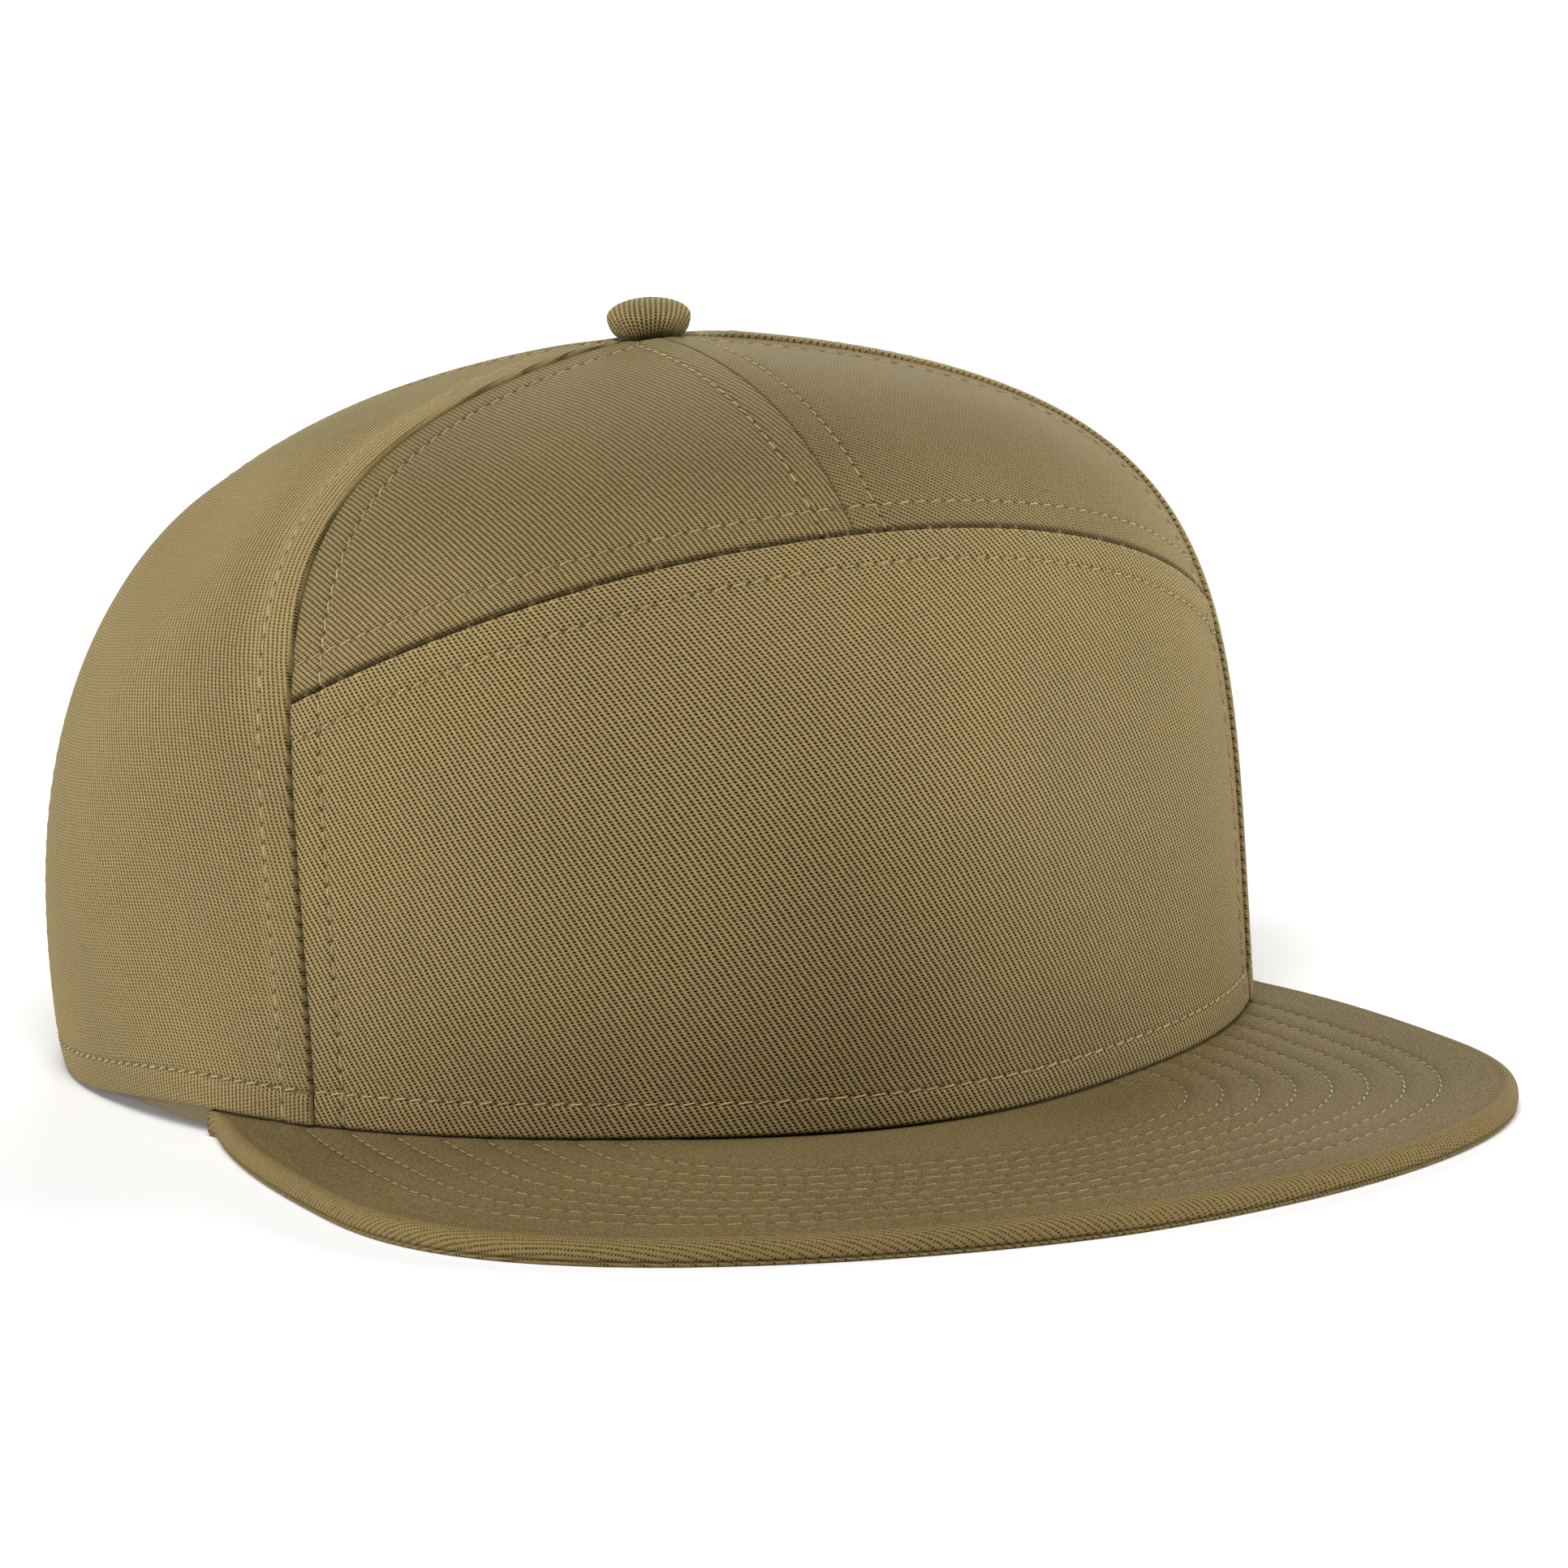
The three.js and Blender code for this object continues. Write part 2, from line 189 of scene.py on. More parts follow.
def polar(angle: Array, radius: Array, height: Array | float) -> Array:
    """Returns points from directions, radii and heights: (r sin a, -r cos a, height)."""
    turn = np.radians(angle)
    parts = np.broadcast_arrays(radius * np.sin(turn), -radius * np.cos(turn), height)
    return np.stack(parts, axis=-1)


def turned(u: Array, v: Array, degrees: float) -> tuple[Array, Array]:
    """Returns coordinates on which a pattern appears turned anticlockwise by an angle."""
    c, s = math.cos(math.radians(degrees)), math.sin(math.radians(degrees))
    return u * c + v * s, v * c - u * s


def grid_quads(rows: int, columns: int, first: int = 0, flip: bool = False) -> Array:
    """Returns the quads of a grid whose points are numbered row by row from first."""
    corner = first + (np.arange(rows - 1)[:, None] * columns + np.arange(columns - 1)).ravel()
    quads = np.stack([corner, corner + 1, corner + columns + 1, corner + columns], axis=1)
    return quads[:, ::-1] if flip else quads


def tube_quads(rings: Array) -> Array:
    """Returns the quads between closed rings of points, given their numbers ring by ring."""
    after = np.roll(rings, -1, axis=1)
    return np.stack([rings[:-1], rings[1:], after[1:], after[:-1]], axis=-1).reshape(-1, 4)


def strip_faces(outer: Array, inner: Array, flip: bool = False) -> Array:
    """Returns the triangles between a fine row of points and a coarse one.

    Each outer point i has the inner partner nearest in share of the way, m(i). Each outer step makes one
    triangle with its partner, and each change of partner one more.

    Args:
        outer: the fine row's point numbers.
        inner: the coarse row's point numbers.
        flip: turns the triangles round.

    Returns:
        Point numbers, shape (n, 3).
    """
    partner = inner[np.rint(np.linspace(0, len(inner) - 1, len(outer))).astype(int)]
    steps = np.stack([outer[:-1], partner[:-1], outer[1:]], axis=1)
    turns = np.stack([outer[1:], partner[:-1], partner[1:]], axis=1)[partner[:-1] != partner[1:]]
    faces = np.concatenate([steps, turns])
    return faces[:, ::-1] if flip else faces


def make_piece(name: str, points: Array, faces: list[Array], material: bpy.types.Material,
               attributes: dict[str, Array], replaces: str | None = None) -> bpy.types.Object:
    """Makes one smooth-shaded mesh piece that rides on the cap's body.

    Args:
        name: the piece's name.
        points: millimetres from the crown's axis, shape (n, 3).
        faces: arrays of point numbers, one array for each number of corners.
        material: its finish.
        attributes: values at the points, shape (n, 3) for a vector and (n,) for a number.
        replaces: the CAD node that the piece stands for, if it does.

    Returns:
        The new object.
    """
    placed = (points + np.array([0.0, CENTRE_Y, 0.0])) * MM
    mesh = bpy.data.meshes.new(name)
    corners = np.concatenate([part.ravel() for part in faces]).astype(np.int32)
    sizes = np.concatenate([np.full(len(part), part.shape[1]) for part in faces])
    starts = np.concatenate([[0], np.cumsum(sizes)[:-1]]).astype(np.int32)
    mesh.vertices.add(len(placed))
    mesh.vertices.foreach_set("co", placed.astype(np.float32).ravel())
    mesh.loops.add(len(corners))
    mesh.loops.foreach_set("vertex_index", corners)
    mesh.polygons.add(len(sizes))
    mesh.polygons.foreach_set("loop_start", starts)
    mesh.update(calc_edges=True)
    for key, values in attributes.items():
        kind = "FLOAT_VECTOR" if values.ndim == 2 else "FLOAT"
        layer = mesh.attributes.new(key, kind, "POINT")
        layer.data.foreach_set("vector" if values.ndim == 2 else "value", values.astype(np.float32).ravel())
    mesh.shade_smooth()
    mesh.materials.append(material)
    piece = bpy.data.objects.new(name, mesh)
    bpy.context.scene.collection.objects.link(piece)
    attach(piece, BODY)
    if replaces:
        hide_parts(replaces)
    LOG.info("%s: %d points, %d faces", name, len(placed), len(sizes))
    return piece


class Value:
    """A number on a shader's wire, so that sums of sockets read as Python."""

    def __init__(self, graph: "Graph", socket: bpy.types.NodeSocket) -> None:
        """Wraps an output socket of the graph."""
        self.graph = graph
        self.socket = socket

    def math(self, operation: str, *others: "Value | float", first: "Value | float | None" = None) -> "Value":
        """Runs a Math node on this value and others.

        Args:
            operation: the node's operation.
            others: what fills its further sockets.
            first: what fills its first socket in place of this value, which then fills the second.

        Returns:
            The node's result.
        """
        values = (self, *others) if first is None else (first, self)
        inputs = {index: value for index, value in enumerate(values)}
        return self.graph.value("ShaderNodeMath", {"operation": operation}, inputs)

    def __add__(self, other: "Value | float") -> "Value":
        """Returns self + other."""
        return self.math("ADD", other)

    def __sub__(self, other: "Value | float") -> "Value":
        """Returns self - other."""
        return self.math("SUBTRACT", other)

    def __rsub__(self, other: float) -> "Value":
        """Returns other - self."""
        return self.math("SUBTRACT", first=other)

    def __mul__(self, other: "Value | float") -> "Value":
        """Returns self times other."""
        return self.math("MULTIPLY", other)

    def __truediv__(self, other: "Value | float") -> "Value":
        """Returns self over other."""
        return self.math("DIVIDE", other)

    def __pow__(self, power: float) -> "Value":
        """Returns self to a power."""
        return self.math("POWER", power)

    def wave(self) -> "Value":
        """Returns 1 where this value is whole and 0 half-way between: (1 + cos 2πx) / 2."""
        return (self * math.tau).math("COSINE") * 0.5 + 0.5

    def bell(self, width: float) -> "Value":
        """Returns e^-(x / width)²."""
        return ((self / width) ** 2 * -1).math("EXPONENT")

    def between(self, low: float, high: float) -> "Value":
        """Returns a smooth step from 0 at low to 1 at high."""
        settings = {"interpolation_type": "SMOOTHSTEP"}
        inputs = {"Value": self, "From Min": low, "From Max": high}
        return self.graph.value("ShaderNodeMapRange", settings, inputs)


class Graph:
    """A material's nodes, made one at a time from a type, its settings and its inputs."""

    def __init__(self, name: str) -> None:
        """Starts an empty material with an output."""
        self.material = bpy.data.materials.new(name)
        self.material.use_nodes = True
        self.tree = self.material.node_tree
        self.tree.nodes.clear()
        self.output = self.node("ShaderNodeOutputMaterial", {}, {})

    def node(self, kind: str, settings: dict, inputs: dict) -> bpy.types.Node:
        """Makes any node.

        Args:
            kind: its type.
            settings: properties, set first.
            inputs: numbers, tuples, sockets or Values by socket name or index.

        Returns:
            The node.
        """
        node = self.tree.nodes.new(kind)
        for key, value in settings.items():
            setattr(node, key, value)
        for key, value in inputs.items():
            source = value.socket if isinstance(value, Value) else value
            if isinstance(source, bpy.types.NodeSocket):
                self.tree.links.new(source, node.inputs[key])
            else:
                node.inputs[key].default_value = source
        return node

    def value(self, kind: str, settings: dict, inputs: dict, output: str | int = 0) -> Value:
        """Returns one output of a new node as a Value."""
        return Value(self, self.node(kind, settings, inputs).outputs[output])

    def attribute(self, name: str) -> tuple[Value, Value, Value]:
        """Returns the three parts of a vector attribute."""
        vector = self.node("ShaderNodeAttribute", {"attribute_name": name}, {}).outputs["Vector"]
        parts = self.node("ShaderNodeSeparateXYZ", {}, {0: vector}).outputs
        return Value(self, parts[0]), Value(self, parts[1]), Value(self, parts[2])

    def number(self, name: str) -> Value:
        """Returns a number attribute."""
        return self.value("ShaderNodeAttribute", {"attribute_name": name}, {}, "Fac")

    def noise(self, scale: float, detail: float = 2.0) -> Value:
        """Returns noise on Object coordinates, from 0 to 1.

        Args:
            scale: how many lumps to the metre.
            detail: finer octaves.

        Returns:
            The noise.
        """
        place = self.node("ShaderNodeTexCoord", {}, {}).outputs["Object"]
        return self.value("ShaderNodeTexNoise", {}, {"Vector": place, "Scale": scale, "Detail": detail})

    def blend(self, share: Value | float, low: tuple | bpy.types.NodeSocket,
              high: tuple | bpy.types.NodeSocket) -> bpy.types.NodeSocket:
        """Returns a colour between low and high."""
        inputs = {"Factor": share, 6: low, 7: high}
        return self.node("ShaderNodeMix", {"data_type": "RGBA", "clamp_factor": True}, inputs).outputs[2]

    def surface(self, color: tuple | bpy.types.NodeSocket, height: Value | None, distance: float,
                roughness: Value | float, constants: dict) -> bpy.types.Material:
        """Ends the material in a Principled shader.

        Args:
            color: the base colour.
            height: relief from 0 to 1, or nothing.
            distance: how far a height of 1 stands out, in millimetres.
            roughness: one number or a varying one.
            constants: numbers set on the shader's own sockets.

        Returns:
            The finished material.
        """
        inputs = {"Base Color": color, "Roughness": roughness, **constants}
        if height is not None:
            relief = {"Height": height, "Distance": distance * MM, "Strength": 1.0}
            inputs["Normal"] = self.node("ShaderNodeBump", {}, relief).outputs["Normal"]
        shader = self.node("ShaderNodeBsdfPrincipled", {}, inputs)
        self.tree.links.new(shader.outputs[0], self.output.inputs["Surface"])
        return self.material


def opaque(color: tuple[float, float, float]) -> tuple[float, float, float, float]:
    """Returns a colour with alpha 1."""
    return (*color, 1.0)


@dataclass(frozen=True)
class Twill:
    """Cotton twill: raised ribs of yarn, with rows of small pits of painted shade between them.

    On the weave attribute (u, v) the ribs run right and down at rib_angle and the picks right and up at
    pick_angle. With rib and pick the waves (1 + cos) / 2 across each, at their pitches, the height is
    1 - (1 - rib)^1.5 (0.15 + 0.85 pick) - 0.12 rib (1 - pick). Less its mean and times contrast it sets the
    tone between dark and light, whose dark low places are partly the yarn's own colour and partly painted
    shade in the pits between the ribs. The sewing attribute holds the distance from the nearest row of
    stitches, the count along it and the panel's own tone with its painted light and shade. Each needle hole
    holds a small spot of painted shade, and each row of stitches a painted shadow beside it. The tone
    attribute wears the cloth pale by fade above 0, and below 0 paints shade into seam grooves, creases and
    the joins between parts.
    """

    name: str
    light: tuple[float, float, float]
    dark: tuple[float, float, float]
    rib_angle: float = 60.0
    pick_angle: float = 7.0
    pitch: float = 0.85
    pick: float = 0.52
    relief: float = 0.24
    sheen: float = 0.2
    fade: float = 0.08
    hole_shade: float = 0.75
    row_shade: float = 0.14
    nap: float = 0.7
    nap_scale: float = 2600.0
    mean: float = 0.726
    contrast: float = 1.5
    row_width: float = 0.42
    hole_width: float = 0.27
    worn: tuple[float, float, float] = (0.5, 0.42, 0.27)
    painted_shade_color: tuple[float, float, float] = (0.03, 0.02, 0.008)
    tint: tuple[float, float, float] = (0.93, 0.84, 0.46)

    def material(self) -> bpy.types.Material:
        """Makes the cloth."""
        graph = Graph(self.name)
        u, v, strength = graph.attribute("weave")
        drift = (graph.noise(220, 3) - 0.5) * 0.45
        rib_turn, pick_turn = math.radians(self.rib_angle), math.radians(self.pick_angle)
        rib = ((u * math.sin(rib_turn) + v * math.cos(rib_turn) + drift) / self.pitch).wave()
        pick = ((v * math.cos(pick_turn) - u * math.sin(pick_turn) + drift) / self.pick).wave()
        weave = 1 - (1 - rib) ** 1.5 * (pick * 0.85 + 0.15) - rib * (1 - pick) * 0.12
        fuzz = graph.noise(self.nap_scale, 2)
        row, count, lot = graph.attribute("sewing")
        near_row = row.bell(self.row_width)
        hole = row.bell(self.hole_width) * count.wave() ** 12
        level = (weave - self.mean) * strength
        height = level + 0.6 + (fuzz - 0.5) * 0.35 - hole * 1.4 - near_row * 0.4
        broad = graph.noise(26, 3)
        # The dark low places are partly the yarn's own colour and partly painted shade in the pits between
        # the ribs.
        tone = level * self.contrast + lot + 0.5 + (fuzz - 0.5) * self.nap + (broad - 0.5) * 0.25
        cloth = graph.blend(tone, opaque(self.dark), opaque(self.light))
        worn = graph.blend(graph.number("tone").between(0.0, 1.0) * self.fade, cloth, opaque(self.worn))
        # Below 0 the tone attribute paints shade into seam grooves, creases and the joins between parts.
        crease = (graph.number("tone") * -1).between(0.0, 1.0)
        # Painted shade in the needle holes and a painted shadow beside each row of stitches, all towards one
        # dark shade colour.
        shade = hole * self.hole_shade + near_row * self.row_shade + crease * 0.8
        color = graph.blend(shade, worn, opaque(self.painted_shade_color))
        constants = {"Sheen Weight": self.sheen, "Sheen Roughness": 0.45, "Specular IOR Level": 0.08,
                     "Sheen Tint": opaque(self.tint)}
        return graph.surface(color, height, self.relief, fuzz * 0.12 + 0.82, constants)


@dataclass(frozen=True)
class Thread:
    """Plied sewing thread, a little yellower than the cloth.

    The ply attribute holds the millimetres along a stitch, the share of a turn round it, and its lot. The
    plies cross a line along the thread twist times in a millimetre.
    """

    name: str = "sewing_thread"
    light: tuple[float, float, float] = (0.43, 0.318, 0.128)
    dark: tuple[float, float, float] = (0.19, 0.134, 0.047)
    twist: float = 1.9
    plies: float = 2.0

    def material(self) -> bpy.types.Material:
        """Makes the thread."""
        graph = Graph(self.name)
        along, turn, lot = graph.attribute("ply")
        ply = (along * self.twist + turn * self.plies).wave()
        tone = ply * 0.6 + lot * 0.45
        color = graph.blend(tone, opaque(self.dark), opaque(self.light))
        constants = {"Sheen Weight": 0.15, "Specular IOR Level": 0.35}
        return graph.surface(color, ply, 0.05, lot * 0.1 + 0.55, constants)


@dataclass(frozen=True)
class BandCloth:
    """Plain-woven cotton of the sweatband: two crossed sets of yarns, one over the other by turns."""

    name: str = "band_cotton"
    light: tuple[float, float, float] = (0.19, 0.137, 0.055)
    dark: tuple[float, float, float] = (0.095, 0.065, 0.024)
    yarn: float = 0.55

    def material(self) -> bpy.types.Material:
        """Makes the band's cloth."""
        graph = Graph(self.name)
        u, v, _ = graph.attribute("weave")
        weft, warp = (u / self.yarn).wave(), (v / self.yarn).wave()
        weave = weft * (1 - warp) + warp * (1 - weft)
        fuzz = graph.noise(1900, 2)
        tone = weave * 0.7 + fuzz * 0.5 - 0.1
        color = graph.blend(tone, opaque(self.dark), opaque(self.light))
        return graph.surface(color, weave + fuzz * 0.4, 0.1, fuzz * 0.1 + 0.85, {"Sheen Weight": 0.2})


@dataclass(frozen=True)
class Plastic:
    """Moulded satin plastic with a fine grain and slightly uneven gloss."""

    name: str = "strap_plastic"
    base: tuple[float, float, float] = (0.152, 0.113, 0.043)
    deep: tuple[float, float, float] = (0.13, 0.096, 0.036)

    def material(self) -> bpy.types.Material:
        """Makes the plastic."""
        graph = Graph(self.name)
        grain, cloud = graph.noise(5200, 2), graph.noise(90, 3)
        color = graph.blend(cloud, opaque(self.deep), opaque(self.base))
        return graph.surface(color, grain, 0.012, cloud * 0.16 + 0.44, {"Specular IOR Level": 0.3})


@dataclass(frozen=True)
class Floor:
    """A plain pale floor that carries on past the camera's view."""

    half: float = 9.0
    color: tuple[float, float, float] = (0.86, 0.86, 0.86)

    def build(self) -> None:
        """Lays the floor under the cap."""
        graph = Graph("floor")
        cloud = graph.noise(3, 2)
        low = tuple(0.99 * part for part in self.color)
        paint = graph.surface(graph.blend(cloud, opaque(low), opaque(self.color)), None, 0, 0.9, {})
        mesh = bpy.data.meshes.new("floor")
        corners = [(-self.half, -self.half, 0), (self.half, -self.half, 0), (self.half, self.half, 0),
                   (-self.half, self.half, 0)]
        mesh.from_pydata(corners, [], [(0, 1, 2, 3)])
        mesh.materials.append(paint)
        floor = bpy.data.objects.new("floor", mesh)
        bpy.context.scene.collection.objects.link(floor)


@dataclass(frozen=True)
class Section:
    """The crown's wall in one direction.

    rim is its radius at the foot. lean tips it outwards there, rise and reach are how far the straight side
    and the flat top carry on, and slope is the fall from the button.
    """

    rim: float
    lean: float
    rise: float
    reach: float
    slope: float


@dataclass(frozen=True)
class SeamLine:
    """A seam up the crown, whose direction is rim + swing t + curl t² at the share t of the way up."""

    rim: float
    swing: float = 0.0
    curl: float = 0.0

    def angle(self, t: Array | float) -> Array:
        """Returns its direction."""
        return self.rim + self.swing * t + self.curl * t * t

    def mirrored(self) -> "SeamLine":
        """Returns the same seam on the wearer's right."""
        return SeamLine(-self.rim, -self.swing, -self.curl)


FRONT_SEAM = SeamLine(61.1, 3.1, 12.3)
BACK_SEAM = SeamLine(118.0, 8.0)
CENTRE_SEAM = SeamLine(0.0)


@dataclass(frozen=True)
class CrownForm:
    """The crown's outer face as a function of direction and share of the way up.

    A point at angle a and share t lies on a cubic curve with the weights (1-t)³, 3(1-t)²t, 3(1-t)t² and t³
    on the radii rim, rim + rise sin(lean), reach cos(slope), 0 and on the heights foot,
    foot + rise cos(lean), top - reach sin(slope), top. The section's values at a come from a Catmull-Rom
    curve through the rows, which are alike on both sides.
    """

    sections: tuple[Section, ...] = (
        Section(95.8, 6.3, 69.8, 85.2, 0.0),
        Section(90.3, 2.4, 72.8, 88.6, 2.4),
        Section(90.1, -1.6, 72.1, 94.2, 5.5),
        Section(92.5, 1.9, 55.2, 100.6, 4.6),
        Section(99.7, 6.0, 40.7, 102.6, 4.6),
        Section(102.2, 4.8, 50.7, 88.2, 12.7),
        Section(102.7, 3.0, 62.0, 76.0, 19.0),
    )
    step: float = 30.0
    top: float = 113.6
    bill_height: float = 4.4
    foot_fall: tuple[float, float] = (74.0, 112.0)
    tuck_sides: tuple[float, float] = (70.0, 95.0)
    tuck: float = 0.6
    tuck_height: float = 7.0
    sag_depth: float = 1.2
    sag_from: float = 0.4
    wall: float = 1.6
    gap: float = 0.05
    hole: float = 3.0
    arch_centre: float = 91.3
    arch_side: float = 70.2

    def column(self, name: str, angle: Array) -> Array:
        """Returns one section value at each angle."""
        rows = np.array([getattr(section, name) for section in self.sections])
        last = len(rows) - 1
        place = np.abs(angle) / self.step
        low = np.minimum(np.floor(place).astype(int), last - 1)
        s = place - low
        a, b, c, d = (rows[last - np.abs(last - np.abs(low + k))] for k in (-1, 0, 1, 2))
        square, cube = 2 * a - 5 * b + 4 * c - d, 3 * b - a - 3 * c + d
        return 0.5 * (2 * b + (c - a) * s + square * s**2 + cube * s**3)

    def foot(self, angle: Array) -> Array:
        """Returns the height of the rim, which stands on the bill and comes down to the table behind it."""
        return self.bill_height * (1 - smoothstep(np.abs(angle), *self.foot_fall))

    def profile(self, angle: Array, t: Array) -> tuple[Array, Array]:
        """Returns the radius and the height of the face."""
        angle, t = np.broadcast_arrays(np.asarray(angle, float), np.asarray(t, float))
        foot = self.foot(angle)
        rim, rise, reach = (self.column(name, angle) for name in ("rim", "rise", "reach"))
        lean, slope = (np.radians(self.column(name, angle)) for name in ("lean", "slope"))
        u = 1 - t
        w0, w1, w2, w3 = u**3, 3 * u * u * t, 3 * u * t * t, t**3
        radius = w0 * rim + w1 * (rim + rise * np.sin(lean)) + w2 * reach * np.cos(slope)
        height = w0 * foot + w1 * (foot + rise * np.cos(lean))
        height = height + w2 * (self.top - reach * np.sin(slope)) + w3 * self.top
        low = np.clip(1 - (height - foot) / self.tuck_height, 0, 1) ** 2
        return radius - self.tuck * smoothstep(np.abs(angle), *self.tuck_sides) * low, height

    def smooth(self, angle: Array, t: Array) -> Array:
        """Returns points of the face before it sags."""
        return polar(angle, *self.profile(angle, t))

    def normal(self, angle: Array, t: Array) -> Array:
        """Returns the outward normal, the cross product of the steps round and up."""
        inside = np.minimum(t, 0.97)
        above, below = np.minimum(inside + 1e-3, 1), np.maximum(inside - 1e-3, 0)
        up = self.smooth(angle, above) - self.smooth(angle, below)
        across = self.smooth(angle + 0.05, inside) - self.smooth(angle - 0.05, inside)
        return unit(np.cross(across, up))

    def sag(self, angle: Array, t: Array) -> Array:
        """Returns how far the side and back panels hollow: depth sin²(π across) sin²(π up) between seams."""
        side = np.abs(angle)
        front, back = FRONT_SEAM.angle(t), BACK_SEAM.angle(t)
        across = np.where(side < back, (side - front) / (back - front), (side - back) / (180 - back))
        up = (t - self.sag_from) / (1 - self.sag_from)
        hollow = self.sag_depth * np.sin(np.pi * across) ** 2 * np.sin(np.pi * up) ** 2
        return np.where((side > front) & (t > self.sag_from), hollow, 0.0)

    def face(self, angle: Array, t: Array, depth: float = 0.0) -> tuple[Array, Array]:
        """Returns points a depth inside the wall's face, and the outward normals there."""
        normal = self.normal(angle, t)
        return self.smooth(angle, t) - normal * (depth + self.sag(angle, t))[..., None], normal

    def t_at_height(self, angle: Array, height: Array | float) -> Array:
        """Returns where the face reaches a height."""
        return halve(lambda t: self.profile(angle, t)[1] >= height, angle.shape)

    def t_at_hole(self, angle: Array) -> Array:
        """Returns where the face reaches the hole under the button."""
        return self.t_at_radius(angle, self.hole)

    def t_at_radius(self, angle: Array, radius: float) -> Array:
        """Returns where the face, high up, comes within a radius of the axis."""
        return halve(lambda t: self.profile(angle, t)[0] <= radius, angle.shape, 0.5)

    def arch_height(self, angle: Array) -> Array:
        """Returns the height of the seam over the front panel: centre - (centre - side) (a / seam)²."""
        return self.arch_centre - (self.arch_centre - self.arch_side) * (np.abs(angle) / FRONT_SEAM.rim) ** 2

    def gap_angle(self, angle: Array, t: Array) -> Array:
        """Returns half the seam's gap as an angle at the face's radius."""
        return np.degrees(self.gap / 2 / np.maximum(self.profile(angle, t)[0], self.hole))

    def climb(self, angle: Array, t: Array) -> Array:
        """Returns the length up the wall from the rim, read off a table of meridians."""
        last_i, last_j = 90, 160
        angles, shares = np.linspace(0, 180, last_i + 1), np.linspace(0, 1, last_j + 1)
        points = self.smooth(*np.meshgrid(angles, shares, indexing="ij"))
        steps = np.linalg.norm(np.diff(points, axis=1), axis=-1)
        table = np.concatenate([np.zeros((last_i + 1, 1)), np.cumsum(steps, axis=1)], axis=1)
        i = np.clip(np.abs(angle) * (last_i / 180), 0, last_i - 0.001)
        j = np.clip(t * last_j, 0, last_j - 0.001)
        i0, j0 = i.astype(int), j.astype(int)
        a, b = i - i0, j - j0
        low = table[i0, j0] * (1 - b) + table[i0, j0 + 1] * b
        return low * (1 - a) + (table[i0 + 1, j0] * (1 - b) + table[i0 + 1, j0 + 1] * b) * a


CROWN = CrownForm()


@dataclass(frozen=True)
class SeamEdge:
    """How a panel's cloth turns in at one of its edges.

    At a distance d from the edge the face stands crest (1 - smoothstep(d, row - 0.6, row + 2.2)) proud, and
    rolls in by drop (1 - √(1 - (1 - d/turn)²)) within turn. row is the distance of its stitches, 0 for none.
    The cloth is darker by dark within width of the edge, painted shade of the seam's groove, with ticks of
    seam thread across it, one each tick_pitch.
    """

    crest: float = 0.2
    turn: float = 0.6
    drop: float = 0.9
    row: float = 5.7
    dark: float = 0.5
    width: float = 0.28
    ticks: float = 0.0
    tick_pitch: float = 3.3

    def proud(self, d: Array, row: Array) -> Array:
        """Returns how far the seam allowance lifts the face, with the stitches at the distance row."""
        return self.crest * (1 - smoothstep(d, np.maximum(row - 0.6, 0), np.maximum(row, 1.2) + 2.2))

    def rolled(self, d: Array) -> Array:
        """Returns how far the face has rolled in."""
        inside = np.clip(1 - d / self.turn, 0, 1)
        return self.drop * (1 - np.sqrt(1 - inside**2))

    def tick(self, d: Array, along: Array) -> Array:
        """Returns how strongly a tick of thread shows: cos²⁴ along the edge, and a bell 0.3 mm from it."""
        return np.cos(np.pi * along / self.tick_pitch) ** 24 * np.exp(-(((d - 0.3) / 0.35) ** 2))

    def painted_groove_shade(self, d: Array, tick: Array) -> Array:
        """Returns how much painted shade of the seam's groove darkens the cloth, which a tick covers."""
        return self.dark * np.exp(-((d / self.width) ** 2)) * (1 - tick * (self.ticks > 0))


